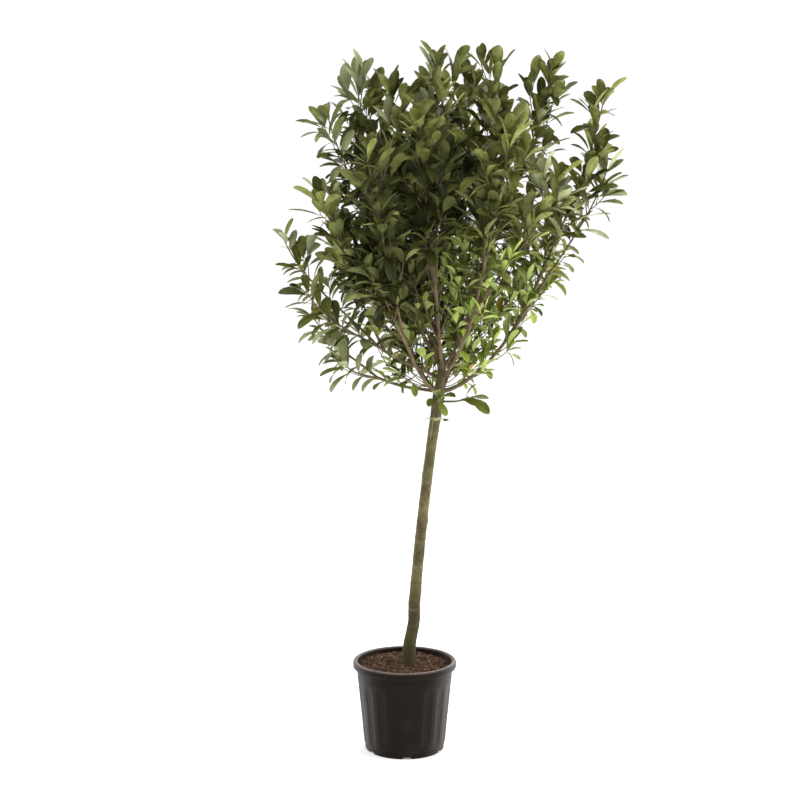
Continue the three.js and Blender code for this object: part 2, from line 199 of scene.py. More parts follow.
def feed(tree, value, socket):
    if isinstance(value, (int, float, list, tuple)):
        socket.default_value = value
    else:
        tree.links.new(value, socket)


def addNode(tree, kind, output, values, **settings):
    node = tree.nodes.new(f"ShaderNode{kind}")
    for setting, value in settings.items():
        setattr(node, setting, value)
    for socket, value in values.items():
        feed(tree, value, node.inputs[socket])
    return node.outputs[output]


def placeGroup(tree, group, values):
    node = tree.nodes.new("ShaderNodeGroup")
    node.node_tree = group
    for socket, value in values.items():
        feed(tree, value, node.inputs[socket])
    return node.outputs


def placeNode(tree, kind="Object"):
    return addNode(tree, "TexCoord", kind, {})


def partNode(tree, vector, axis):
    return addNode(tree, "SeparateXYZ", axis, {"Vector": vector})


def stretchNode(tree, vector, scale):
    return addNode(tree, "Mapping", "Vector", {"Vector": vector, "Scale": scale})


def scaleNode(tree, vector, scale):
    return addNode(tree, "VectorMath", "Vector", {0: vector, "Scale": scale}, operation="SCALE")


def noiseNode(tree, vector, scale, detail=3, roughness=0.55):
    values = {"Vector": vector, "Scale": scale, "Detail": detail, "Roughness": roughness}
    return addNode(tree, "TexNoise", "Fac", values)


def mathNode(tree, operation, *values):
    return addNode(tree, "Math", "Value", dict(enumerate(values)), operation=operation)


def rangeNode(tree, value, low, high, first=0, last=1):
    values = dict(enumerate((value, low, high, first, last)))
    return addNode(tree, "MapRange", "Result", values, interpolation_type="SMOOTHSTEP")


def mixNode(tree, factor, first, second, blend="MIX"):
    return addNode(tree, "Mix", 2, {0: factor, 6: first, 7: second}, data_type="RGBA", blend_type=blend)


def bumpNode(tree, height, distance, strength=1):
    return addNode(tree, "Bump", "Normal", {"Height": height, "Distance": distance, "Strength": strength})


def dress(tree, shader, skin, normal):
    feed(tree, skin, shader["Base Color"])
    feed(tree, normal, shader["Normal"])


# bark: mottled, with pale lenticels that run across the limb and a green film
def makeBarkGroup():
    tree, given, out = newGroup("barkSkin", ["Dark", "Main", "Pale", "Green"],
                                ["Scale", "GreenAmount", "PaleAmount"])
    place = placeNode(tree)
    scaled = scaleNode(tree, place, given["Scale"])
    across = scaleNode(tree, stretchNode(tree, place, (1, 1, 3.2)), given["Scale"])
    broad = noiseNode(tree, scaled, 16, 4, 0.6)
    fine = noiseNode(tree, across, 95, 3, 0.65)
    film = noiseNode(tree, scaled, 9, 2, 0.5)
    dashes = noiseNode(tree, across, 150, 1, 0.4)
    mottled = mixNode(tree, rangeNode(tree, broad, 0.38, 0.64), given["Dark"], given["Main"])
    greenShare = rangeNode(tree, film, 0.4, 0.66, 0, given["GreenAmount"])
    greened = mixNode(tree, greenShare, mottled, given["Green"])
    marks = rangeNode(tree, dashes, 0.63, 0.72, 0, given["PaleAmount"])
    flecks = rangeNode(tree, fine, 0.52, 0.78, 0, given["PaleAmount"])
    paled = mixNode(tree, mathNode(tree, "MAXIMUM", marks, flecks), greened, given["Pale"])
    feed(tree, paled, out["Color"])
    feed(tree, rangeNode(tree, fine, 0.3, 0.7, 0.72, 0.9), out["Roughness"])
    feed(tree, mathNode(tree, "ADD", fine, marks), out["Height"])
    return tree


barkGroup = makeBarkGroup()


def barkMaterial(name, relief, shades=(), marked=False, **values):
    material, tree, shader = newMaterial(name, Specular_IOR_Level=0.3)
    bark = placeGroup(tree, barkGroup, values)
    skin = bark["Color"]
    if marked:  # scars and seams that the mesh carries
        for mark, tone in (("darkMark", values["Dark"]), ("paleMark", values["Pale"])):
            share = addNode(tree, "Attribute", "Fac", {}, attribute_name=mark)
            skin = mixNode(tree, share, skin, tone)
    for first, last, tone in shades:  # darker from one height to another
        dim = rangeNode(tree, partNode(tree, placeNode(tree), "Z"), first, last)
        skin = mixNode(tree, dim, skin, tone, "MULTIPLY")
    feed(tree, bark["Roughness"], shader["Roughness"])
    dress(tree, shader, skin, bumpNode(tree, bark["Height"], relief))
    return material


# leaf blade: a pale midrib and side veins on the leaf's own UV, and a soft mottle
def makeBladeGroup():
    tree, given, out = newGroup("leafBlade", ["Blade", "Shade", "Rib"], ["RibAmount"])
    own = addNode(tree, "UVMap", "UV", {}, uv_map="blade")
    acrossLeaf = partNode(tree, own, "X")
    alongLeaf = partNode(tree, own, "Y")
    fromRib = mathNode(tree, "ABSOLUTE", mathNode(tree, "SUBTRACT", acrossLeaf, 0.5))
    rib = rangeNode(tree, fromRib, 0.012, 0.05, 1, 0)
    slant = mathNode(tree, "MULTIPLY_ADD", fromRib, -2.6, mathNode(tree, "MULTIPLY", alongLeaf, 8.5))
    vein = rangeNode(tree, mathNode(tree, "PINGPONG", slant, 0.5), 0.0, 0.12, 0.55, 0)
    lines = mathNode(tree, "MAXIMUM", rib, vein)
    mottle = noiseNode(tree, placeNode(tree), 26, 2)
    body = mixNode(tree, rangeNode(tree, mottle, 0.34, 0.66), given["Shade"], given["Blade"])
    lineShare = mathNode(tree, "MULTIPLY", lines, given["RibAmount"])
    feed(tree, mixNode(tree, lineShare, body, given["Rib"]), out["Color"])
    feed(tree, rangeNode(tree, mottle, 0.3, 0.7, 0.5, 0.38), out["Roughness"])
    feed(tree, mathNode(tree, "MULTIPLY", lines, -1.0), out["Height"])
    return tree


bladeGroup = makeBladeGroup()


def bladeMaterial(name, look, blade, shade):
    material, tree, shader = newMaterial(name, Specular_IOR_Level=0.16)
    rib = [part + look["ribLift"] for part in blade]
    skin = placeGroup(tree, bladeGroup, {"Blade": colour(*blade), "Shade": colour(*shade),
                                         "Rib": colour(*rib), "RibAmount": look["ribAmount"]})
    feed(tree, look["roughness"] or skin["Roughness"], shader["Roughness"])
    dress(tree, shader, skin["Color"], bumpNode(tree, skin["Height"], leaf["veinDepth"]))
    return material


# the nursery pot, turned from its section, with flutes pressed into the wall and notches in the foot
pot = {
    "height": 0.286, "lipRadius": 0.165, "lipHeight": 0.022, "bandRadius": 0.1515, "bandHeight": 0.036,
    "wallTop": 0.1505, "wallBottom": 0.130, "footRadius": 0.126, "footHeight": 0.022, "footWidth": 0.013,
    "footBevel": 0.002, "footDraft": 0.0004, "floorHeight": 0.010, "hubRadius": 0.040, "thickness": 0.0025,
    "ease": 0.004, "edge": 0.0015, "bandRamp": 0.008, "bandDraft": 0.001, "bandDrop": 0.0005,
    "rimRound": 0.0075, "innerInset": 0.002, "innerFlare": 0.0008, "innerDrop": 0.012,
    "linerHeight": 0.13, "linerInset": 0.0056,  # the inner floor, under the compost
    "footSteps": 3, "wallSteps": 22, "bandSteps": 5, "edgeSteps": 3, "rimSteps": 9,
    "footTurn": (-70, 0), "lipTurn": (-80, 0), "rimTurn": (10, 175), "lipHighlightSpan": (0.006, 0.001),
    "fluteCount": 18, "fluteDepth": 0.0017, "fluteSteps": 12, "fluteWave": (0.2, 0.85), "fluteRun": 0.004,
    "fluteArch": 0.012, "fluteEnd": 0.006, "skinDepth": 0.001, "sharpAngle": 40,
    "notchCount": 6, "notchWidth": 0.03, "notchHeight": 0.006, "notchTurn": 0.55, "notchRamp": 0.004,
    "plain": [colour(22, 17, 13), colour(31, 24, 19)], "dust": colour(48, 40, 33),
    # the pale colour of the lip top is a painted highlight
    "lipHighlight": colour(112, 98, 90),
}


def potRadius(height):
    foot = pot["footHeight"]
    top = pot["height"] - pot["lipHeight"] - pot["bandHeight"]
    return mix(pot["wallBottom"], pot["wallTop"], (height - foot) / (top - foot))


def rounded(middle, height, radius, first, last, steps):
    for step in range(steps + 1):
        turn = math.radians(mix(first, last, step / steps))
        yield middle + radius * math.cos(turn), height + radius * math.sin(turn)


def potProfile():
    edge, ramp, bevel, rim = pot["edge"], pot["bandRamp"], pot["footBevel"], pot["rimRound"]
    foot, footRadius, lipRadius = pot["footHeight"], pot["footRadius"], pot["lipRadius"]
    lipFoot = pot["height"] - pot["lipHeight"]
    bandFoot = lipFoot - pot["bandHeight"]
    inside = footRadius - pot["footWidth"]
    innerTop = potRadius(lipFoot) - pot["thickness"] - pot["innerInset"]
    yield 0, 0
    yield pot["hubRadius"] - pot["ease"], 0
    yield pot["hubRadius"], pot["floorHeight"]
    yield inside, pot["floorHeight"]
    yield inside + bevel / 2, bevel / 2
    yield inside + bevel, 0
    yield footRadius - bevel, 0
    yield footRadius, bevel
    for step in range(1, pot["footSteps"] + 1):
        yield footRadius + pot["footDraft"] * step, mix(bevel, foot, step / pot["footSteps"])
    yield from rounded(pot["wallBottom"] - edge, foot + edge, edge, *pot["footTurn"], pot["edgeSteps"])
    for step in range(1, pot["wallSteps"] + 1):
        height = mix(foot + 2 * pot["ease"], bandFoot - ramp, step / pot["wallSteps"])
        yield potRadius(height), height
    for step in range(1, pot["bandSteps"] + 1):  # the wall runs into the band without a step
        share = smoothStep(step, 0, pot["bandSteps"])
        height = mix(bandFoot - ramp, bandFoot + ramp, step / pot["bandSteps"])
        yield mix(potRadius(height), pot["bandRadius"], share), height
    yield pot["bandRadius"] + pot["bandDraft"], lipFoot - pot["bandDrop"]
    yield lipRadius - edge, lipFoot
    yield from rounded(lipRadius - edge, lipFoot + edge, edge, *pot["lipTurn"], pot["edgeSteps"])
    yield from rounded(lipRadius - rim, pot["height"] - rim, rim, *pot["rimTurn"], pot["rimSteps"])
    yield innerTop + pot["innerFlare"], lipFoot
    yield innerTop, lipFoot - pot["innerDrop"]
    yield potRadius(pot["linerHeight"]) - pot["linerInset"], pot["linerHeight"]
    yield 0, pot["linerHeight"]


def makePot():
    bm = turned(potProfile(), pot["fluteCount"] * pot["fluteSteps"])
    run, end, deep = pot["fluteRun"], pot["fluteEnd"], pot["fluteArch"]
    fluteFoot = pot["footHeight"] + 2 * pot["ease"]
    fluteTop = pot["height"] - pot["lipHeight"] - pot["bandHeight"] - deep
    footInside = pot["footRadius"] - pot["footWidth"] - pot["skinDepth"]
    spacing = fullTurn / pot["notchCount"]
    halfNotch = pot["notchWidth"] / 2
    for vert in bm.verts:
        radius = math.hypot(vert.co.x, vert.co.y)
        turn = math.atan2(vert.co.y, vert.co.x)
        height = vert.co.z
        onWall = radius > potRadius(height) - pot["skinDepth"]
        if onWall and fluteFoot - run < height < fluteTop + deep:
            wave = 0.5 + 0.5 * math.cos(pot["fluteCount"] * turn)
            arch = fluteTop - deep * (1 - wave)  # the flutes end in arches
            pressed = smoothStep(height, fluteFoot - run, fluteFoot + run)
            pressed *= 1 - smoothStep(height, arch - end, arch + end)
            share = 1 - pot["fluteDepth"] * smoothStep(wave, *pot["fluteWave"]) * pressed / radius
            vert.co.x *= share
            vert.co.y *= share
        offset = (turn / spacing - pot["notchTurn"] + 0.5) % 1 - 0.5
        reach = abs(offset) * spacing * pot["footRadius"]
        if radius > footInside and height < pot["notchHeight"] and reach < halfNotch:
            vert.co.z = pot["notchHeight"] * min(1, (halfNotch - reach) / pot["notchRamp"])
    return meshFrom(bm, "nurseryPot", pot["sharpAngle"])


def potMaterial():
    material, tree, shader = newMaterial("blackPotPlastic")
    place = placeNode(tree)
    height = partNode(tree, place, "Z")
    cloud = noiseNode(tree, place, 14, 4, 0.6)
    grain = noiseNode(tree, place, 420, 2, 0.5)
    runs = noiseNode(tree, stretchNode(tree, place, (60, 60, 5)), 1, 3, 0.6)
    low = rangeNode(tree, height, 0.0, 0.1, 1, 0)
    dust = rangeNode(tree, cloud, 0.42, 0.72, 0, mathNode(tree, "MULTIPLY_ADD", low, 0.35, 0.28))
    wash = rangeNode(tree, runs, 0.55, 0.8, 0, 0.22)
    plain = mixNode(tree, cloud, *pot["plain"])
    dusty = mixNode(tree, mathNode(tree, "MAXIMUM", dust, wash), plain, pot["dust"])
    lipTop = rangeNode(tree, height, *[pot["height"] - drop for drop in pot["lipHighlightSpan"]])
    highlightMottle = mathNode(tree, "MULTIPLY", rangeNode(tree, cloud, 0.3, 0.6, 0.35, 0.9), lipTop)
    lipHighlight = mixNode(tree, highlightMottle, dusty, pot["lipHighlight"])  # painted highlight: the top of the lip is paler, mottled
    dress(tree, shader, lipHighlight, bumpNode(tree, grain, 0.0003, 0.5))
    # dull where it is seen square on, with a sheen at its sides
    facing = addNode(tree, "LayerWeight", "Facing", {})
    feed(tree, rangeNode(tree, facing, 0.15, 0.8, 0.08, 0.62), shader["Specular IOR Level"])
    feed(tree, rangeNode(tree, cloud, 0.3, 0.75, 0.5, 0.66), shader["Roughness"])
    return material


addPiece("nursery_pot", makePot(), [potMaterial()], "pot_plastic", "pot")
print("pot turned")


# compost: a rough mound in the pot with loose bark on it
soil = {
    "top": 0.272, "mound": 0.003, "radius": 0.1512, "flatRadius": 0.08, "foot": 0.135, "footRadius": 0.134,
    "tilt": 0.002, "skirt": 0.01, "rings": 36, "steps": 120, "seed": 7,
    "rough": 0.004, "clodScale": 45, "gritScale": 140, "gritShare": 0.6, "edgeSpan": 0.02,
    "damp": colour(54, 43, 31), "patchScale": 26, "patchShare": 0.65,
    "dark": [colour(40, 28, 20), colour(80, 58, 42)], "grit": colour(116, 92, 72),
    "chips": 3000, "chipLength": (0.003, 0.0115), "chipWidth": (0.35, 0.75), "chipThick": (0.2, 0.4),
    "chipMargin": 0.012, "chipPower": 1.6, "chipRough": 0.7, "chipTilt": 0.9, "chipLift": 0.2,
}
# loose bark: the two colours of its grain and its share of the chips
chipTints = {
    "bark_chips_red": (colour(78, 50, 35), colour(114, 80, 60), 0.5),
    "bark_chips_dark": (colour(44, 31, 23), colour(70, 51, 38), 0.38),
    "bark_chips_pale": (colour(98, 76, 60), colour(126, 102, 84), 0.12),
}


def soilHeight(x, y):
    radius = math.hypot(x, y)
    slope = soil["mound"] * smoothStep(radius, soil["flatRadius"], soil["radius"])
    clods = noise.noise(Vector((x, y, 0)) * soil["clodScale"]) * soil["rough"]
    clods += noise.noise(Vector((x, y, 2)) * soil["gritScale"]) * soil["rough"] * soil["gritShare"]
    slope += soil["tilt"] * x / soil["radius"]  # lower on the right
    return soil["top"] - slope + clods * smoothStep(soil["radius"] - radius, 0, soil["edgeSpan"])


def soilProfile():
    for step in range(soil["rings"] + 1):
        yield soil["radius"] * step / soil["rings"], soil["top"]
    yield soil["footRadius"], soil["foot"]
    yield 0, soil["foot"]


def makeSoil():
    bm = turned(soilProfile(), soil["steps"])
    for vert in bm.verts:
        if vert.co.z > soil["foot"] + soil["skirt"]:
            vert.co.z = soilHeight(vert.co.x, vert.co.y)
    return meshFrom(bm, "barkCompost")


def damped(tree, place, dry):  # darker in damp patches
    patches = noiseNode(tree, place, soil["patchScale"], 3, 0.6)
    return mixNode(tree, rangeNode(tree, patches, 0.42, 0.66, 0, soil["patchShare"]), dry, soil["damp"])


def soilMaterial():
    material, tree, shader = newMaterial("barkCompost", Roughness=0.95, Specular_IOR_Level=0.15)
    place = placeNode(tree)
    lumps = noiseNode(tree, place, 90, 5, 0.7)
    grit = noiseNode(tree, place, 320, 3, 0.6)
    dark = mixNode(tree, rangeNode(tree, lumps, 0.36, 0.62), *soil["dark"])
    gritty = mixNode(tree, rangeNode(tree, grit, 0.6, 0.75), dark, soil["grit"])
    relief = bumpNode(tree, mathNode(tree, "ADD", lumps, grit), 0.004)
    dress(tree, shader, damped(tree, place, gritty), relief)
    return material


def chipMaterial(name, first, second):
    material, tree, shader = newMaterial(name, Roughness=0.9, Specular_IOR_Level=0.2)
    place = placeNode(tree)
    grain = noiseNode(tree, place, 160, 4, 0.7)
    dry = mixNode(tree, rangeNode(tree, grain, 0.35, 0.65), first, second)
    dress(tree, shader, damped(tree, place, dry), bumpNode(tree, grain, 0.001))
    return material


def makeChips(name, order, count):
    random = seeded(soil["seed"] + order)
    box = np.array([(x, y, z) for x in (-0.5, 0.5) for y in (-0.5, 0.5) for z in (-0.5, 0.5)])
    sides = np.array([(0, 1, 3, 2), (4, 6, 7, 5), (0, 4, 5, 1), (2, 3, 7, 6), (0, 2, 6, 4), (1, 5, 7, 3)])
    verts, faces = [], []
    for chip in range(count):
        radius = (soil["radius"] - soil["chipMargin"]) * math.sqrt(random())
        turn = fullTurn * random()
        x, y = radius * math.cos(turn), radius * math.sin(turn)
        length = mix(*soil["chipLength"], random() ** soil["chipPower"])
        size = length * np.array([1, mix(*soil["chipWidth"], random()), mix(*soil["chipThick"], random())])
        jolts = np.array([random() for _ in range(box.size)]).reshape(box.shape) - 0.5
        shape = box * size * (1 + soil["chipRough"] * jolts)
        tilt = Matrix.Rotation(fullTurn * random(), 3, "Z")
        for axis in "XY":
            tilt = tilt @ Matrix.Rotation(soil["chipTilt"] * (random() - 0.5), 3, axis)
        faces.append(sides + len(box) * chip)
        verts.append(shape @ np.array(tilt).T + (x, y, soilHeight(x, y) + soil["chipLift"] * size[2]))
    mesh = bpy.data.meshes.new(name)
    mesh.from_pydata(np.concatenate(verts).tolist(), [], np.concatenate(faces).tolist())
    return mesh


addPiece("bark_compost", makeSoil(), [soilMaterial()], "bark_compost", "soil")
for order, (name, (first, second, share)) in enumerate(chipTints.items()):
    mesh = makeChips(name, order, int(soil["chips"] * share))
    addPiece(name, mesh, [chipMaterial(name, first, second)], "bark_compost", "soil")
print("compost filled")


# trunk: the line and girth of the solid, with knots, ring scars and a seam under the head
trunk = {
    "footX": 0.015, "height": 0.976, "lean": 0.108, "bow": 0.0105, "kink": 0.004, "kinkSpan": 0.2,
    "flareRadius": 0.024, "flareSpan": 0.07, "footRadius": 0.019, "midRadius": 0.0162, "taperSpan": 0.6,
    "headRadius": 0.019, "headSpan": 0.11, "tipRadius": 0.008, "foot": 0.2723, "sink": 0.008,
    "rings": 300, "sides": 56,
    # waves in the bark: rise, how close round the trunk, how close along it and offset
    "waves": [(0.0011, 0.55, 13, 0), (0.0007, 2.1, 5, 7), (0.0003, 3, 160, 0)],
    # pruned twigs: height above the soil, azimuth and size
    "knots": [(0.075, 285, 1.2), (0.17, 215, 0.9), (0.235, 330, 1.1), (0.315, 95, 1), (0.38, 250, 0.8),
              (0.46, 20, 1), (0.545, 290, 0.9), (0.61, 150, 1), (0.70, 235, 0.9), (0.79, 330, 1)],
    "knotSize": 0.011, "knotRise": 0.0026, "knotSquash": 0.8, "knotEye": 0.42, "knotSink": 0.75,
    "scars": [0.045, 0.118, 0.152, 0.205, 0.262, 0.304, 0.352, 0.41, 0.463, 0.52, 0.588, 0.64, 0.7, 0.752,
              0.83],
    "scarRise": 0.0008, "scarWidth": 0.0045, "scarTilt": 0.004, "scarStep": 2.4,
    "seamFoot": 0.715, "seamTop": 0.77, "seamStart": 0.03, "seamEnd": 0.05, "seamAzimuth": 243,
    "seamWidth": 0.17, "seamDepth": 0.0022,
    # rings that show, with height and strength
    "paleScars": [(0.182, 0.45), (0.314, 0.5), (0.588, 0.3), (0.7, 0.3)],
    "darkScars": [(0.118, 0.5), (0.262, 0.6), (0.352, 0.4), (0.52, 0.7), (0.64, 0.5), (0.676, 0.6),
                  (0.728, 0.6), (0.765, 0.5), (0.81, 0.7)],
    "ringWidth": 0.0055, "ringWear": (0.6, 0.8), "wearAround": 2, "wearStep": 30,
    # darker towards the soil, and painted shade under the crown
    "shades": [(0.75, 0.3, (0.44, 0.42, 0.34, 1)), (0.82, 1.0, (0.76, 0.74, 0.7, 1))],
}


def trunkPoint(along):
    kink = trunk["kink"] * math.sin(fullTurn * min(1, along / trunk["kinkSpan"]))
    x = trunk["footX"] + trunk["lean"] * along - trunk["bow"] * math.sin(math.pi * along) - kink
    return Vector((x, 0, trunk["foot"] + trunk["height"] * along))


def trunkRadius(along):
    flare = (trunk["flareRadius"] - trunk["footRadius"]) * math.exp(-along / trunk["flareSpan"])
    stem = mix(trunk["footRadius"], trunk["midRadius"], min(1, along / trunk["taperSpan"])) + flare
    head = smoothStep(along, 1 - 2 * trunk["headSpan"], 1 - trunk["headSpan"])
    tip = smoothStep(along, 1 - trunk["headSpan"], 1)
    return mix(mix(stem, trunk["headRadius"], head), trunk["tipRadius"], tip)


def seamShare(height, turn):
    within = smoothStep(height, trunk["seamFoot"], trunk["seamFoot"] + trunk["seamStart"])
    within *= 1 - smoothStep(height, trunk["seamTop"], trunk["seamTop"] + trunk["seamEnd"])
    return within * bell(turnFrom(turn, trunk["seamAzimuth"]), trunk["seamWidth"])


def scarTilt(order, turn):  # no scar runs quite level
    return trunk["scarTilt"] * math.sin(turn + trunk["scarStep"] * order)


def ringShare(rings, height, turn):
    share = 0
    least, more = trunk["ringWear"]
    around = Vector((math.cos(turn), math.sin(turn), 0)) * trunk["wearAround"]
    for order, (place, strength) in enumerate(rings):
        worn = least + more * noise.noise(around + up * trunk["wearStep"] * place)
        share += strength * worn * bell(height - place - scarTilt(order, turn), trunk["ringWidth"])
    return share


def trunkRelief(height, turn, radius):
    around = Vector((math.cos(turn), math.sin(turn), 0))
    relief = 0
    for rise, wide, close, offset in trunk["waves"]:
        relief += noise.noise(around * wide + up * (height * close + offset)) * rise
    for order, scar in enumerate(trunk["scars"]):
        relief += trunk["scarRise"] * bell(height - scar - scarTilt(order, turn), trunk["scarWidth"])
    for knot, azimuth, size in trunk["knots"]:
        across = turnFrom(turn, azimuth) * radius
        far = math.hypot(across, (height - knot) * trunk["knotSquash"]) / (trunk["knotSize"] * size)
        relief += trunk["knotRise"] * size * (bell(far, 1) - trunk["knotSink"] * bell(far, trunk["knotEye"]))
    return relief - trunk["seamDepth"] * seamShare(height, turn)


def makeTrunk():
    bm = bmesh.new()
    start = -trunk["sink"] / trunk["height"]
    shares = [mix(start, 1, ring / trunk["rings"]) for ring in range(trunk["rings"] + 1)]
    points = [trunkPoint(max(share, 0)) + up * min(share, 0) * trunk["height"] for share in shares]

    def girth(place, turn):
        along = mix(start, 1, place)
        radius = trunkRadius(max(along, 0))
        return radius + trunkRelief(along * trunk["height"], turn, radius)

    rollTube(bm, points, [(Vector((1, 0, 0)), Vector((0, 1, 0)))] * len(points), trunk["sides"], girth)
    bmesh.ops.recalc_face_normals(bm, faces=bm.faces)
    mesh = meshFrom(bm, "trunkBark")
    pale = mesh.attributes.new("paleMark", "FLOAT", "POINT")
    dark = mesh.attributes.new("darkMark", "FLOAT", "POINT")
    for vert in mesh.vertices:
        height = vert.co.z - trunk["foot"]
        middle = trunkPoint(min(1, max(0, height / trunk["height"])))
        turn = math.atan2(vert.co.y - middle.y, vert.co.x - middle.x)
        rings = ringShare(trunk["paleScars"], height, turn)
        pale.data[vert.index].value = max(seamShare(height, turn), rings)
        dark.data[vert.index].value = ringShare(trunk["darkScars"], height, turn)
    return mesh


trunkBark = barkMaterial("trunkBark", 0.0012, trunk["shades"], marked=True,
                         Dark=colour(70, 62, 37), Main=colour(106, 98, 64), Pale=colour(160, 152, 118),
                         Green=colour(104, 104, 56), Scale=1.0, GreenAmount=0.5, PaleAmount=0.4)
addPiece("trunk_bark", makeTrunk(), [trunkBark], "trunk_bark", "trunk")
print("trunk grown")


# boughs: level on the trunk, direction about the head, reach, rise and girth, then their leafy branches.
# A branch has the direction, reach and rise of its tip, how full its spray is and how long its twigs are
levels = {"low": (0.874, 8), "mid": (0.911, 34), "high": (0.945, 50)}  # height above the soil and slope
boughs = [
    ("left_low", "low", 181, 0.195, 0.046, 0.0052,
     [(176, 0.4, 0.24, 0.12, 1), (188, 0.3, 0.09, 0.14, 1)]),
    ("left_mid", "mid", 176, 0.2, 0.15, 0.0056,
     [(180, 0.485, 0.475, 0.26, 1.1), (163, 0.35, 0.61, 0.45, 1), (196, 0.42, 0.31, 0.12, 1)]),
    ("left_upper", "high", 152, 0.1, 0.33, 0.0054,
     [(169, 0.265, 0.965, 0.68, 1), (181, 0.345, 0.85, 0.5, 1), (133, 0.27, 0.78, 0.75, 1)]),
    ("centre_front", "high", 262, 0.09, 0.34, 0.0054,
     [(262, 0.075, 1.0, 0.72, 1), (203, 0.165, 0.915, 0.75, 1), (256, 0.275, 0.83, 0.85, 1)]),
    ("right_upper", "high", 10, 0.12, 0.38, 0.0058,
     [(14, 0.185, 0.995, 0.68, 1), (1, 0.348, 0.992, 0.75, 1)]),
    ("right", "low", 356, 0.28, 0.27, 0.0072,
     [(355, 0.515, 0.69, 0.28, 0.8), (359, 0.505, 0.905, 0.32, 0.9), (14, 0.38, 0.48, 0.42, 1)]),
    ("right_inner", "mid", 38, 0.195, 0.22, 0.0056, [(39, 0.42, 0.69, 0.42, 1), (27, 0.345, 0.39, 0.65, 1)]),
    ("front_left", "low", 234, 0.19, 0.18, 0.006,
     [(240, 0.42, 0.705, 0.9, 1), (218, 0.41, 0.545, 0.55, 1), (236, 0.33, 0.36, 0.45, 1)]),
    ("front_right", "mid", 303, 0.2, 0.29, 0.0056, [(298, 0.395, 0.78, 0.8, 1), (326, 0.415, 0.64, 0.34, 1)]),
    ("back_left", "low", 124, 0.195, 0.19, 0.006,
     [(117, 0.43, 0.7, 0.9, 1), (137, 0.425, 0.5, 0.5, 1), (112, 0.34, 0.36, 0.7, 1)]),
    ("back_right", "low", 68, 0.19, 0.22, 0.006,
     [(77, 0.41, 0.79, 0.85, 1), (60, 0.45, 0.59, 0.5, 1), (85, 0.36, 0.38, 0.9, 1)]),
    ("back_upper", "mid", 98, 0.085, 0.33, 0.0054, [(96, 0.235, 0.96, 0.6, 1), (68, 0.25, 0.985, 0.62, 1)]),
]
bough = {
    "tipRadius": 0.0044, "lift": 16, "bend": 0.3, "rings": 60, "sides": 14,
    "collar": 0.35, "collarSpan": 0.025, "wander": 0.003, "wanderStep": 5.1, "wanderScale": 4,
    "nodeSpacing": 0.045, "nodeRise": 0.0006, "nodeWidth": 0.1, "nodeStep": 0.37,
    "rough": 0.0005, "roughScale": 90, "tipTaper": 0.35, "tipFrom": 0.985,
}
head = trunkPoint(levels["low"][0] / trunk["height"])


def aroundHead(azimuth, reach, rise):
    return head + heading(azimuth, 0) * reach + up * rise


def boughPoints(order):
    _, level, azimuth, reach, rise, _, _ = boughs[order]
    height, elevation = levels[level]
    start = trunkPoint(height / trunk["height"])
    tip = aroundHead(azimuth, reach, rise)
    span = (tip - start).length
    slope = math.degrees(math.asin((tip.z - start.z) / span))
    leave = start + heading(azimuth, elevation) * bough["bend"] * span
    arrive = tip - heading(azimuth, slope + bough["lift"]) * bough["bend"] * span
    points = []
    for ring in range(bough["rings"] + 1):
        share = ring / bough["rings"]
        sway = noise.noise_vector(Vector((order * bough["wanderStep"], share * bough["wanderScale"], 1)))
        sway = sway * bough["wander"] * math.sin(math.pi * share)
        points.append(bezier(start, leave, arrive, tip, share) + sway)
    return points


def boughRadius(order, share):
    *_, radius, _ = boughs[order]
    return mix(radius, bough["tipRadius"], math.sqrt(share))


def makeBoughs():
    bm = bmesh.new()
    for order, points in enumerate(boughLines):
        length = lengthOf(points)

        def girth(share, turn):
            reach = share * length
            collar = 1 + bough["collar"] * math.exp(-reach / bough["collarSpan"])
            place = reach / bough["nodeSpacing"] + order * bough["nodeStep"]
            node = bell((place + 0.5) % 1 - 0.5, bough["nodeWidth"]) * bough["nodeRise"]
            skin = Vector((math.cos(turn), math.sin(turn), reach * bough["roughScale"] + order))
            tip = 1 - bough["tipTaper"] * smoothStep(share, bough["tipFrom"], 1)
            return boughRadius(order, share) * collar * tip + node + noise.noise(skin) * bough["rough"]

        rollTube(bm, points, list(frames(points)), bough["sides"], girth)
    bmesh.ops.recalc_face_normals(bm, faces=bm.faces)
    return meshFrom(bm, "boughBark")


boughLines = [boughPoints(order) for order in range(len(boughs))]
boughBark = barkMaterial("boughBark", 0.0008,
                         Dark=colour(80, 68, 50), Main=colour(122, 104, 80), Pale=colour(170, 152, 124),
                         Green=colour(104, 98, 62), Scale=1.6, GreenAmount=0.4, PaleAmount=0.4)
addPiece("bough_bark", makeBoughs(), [boughBark], "bough_bark", *[f"bough_{row[0]}" for row in boughs])
print("boughs grown")


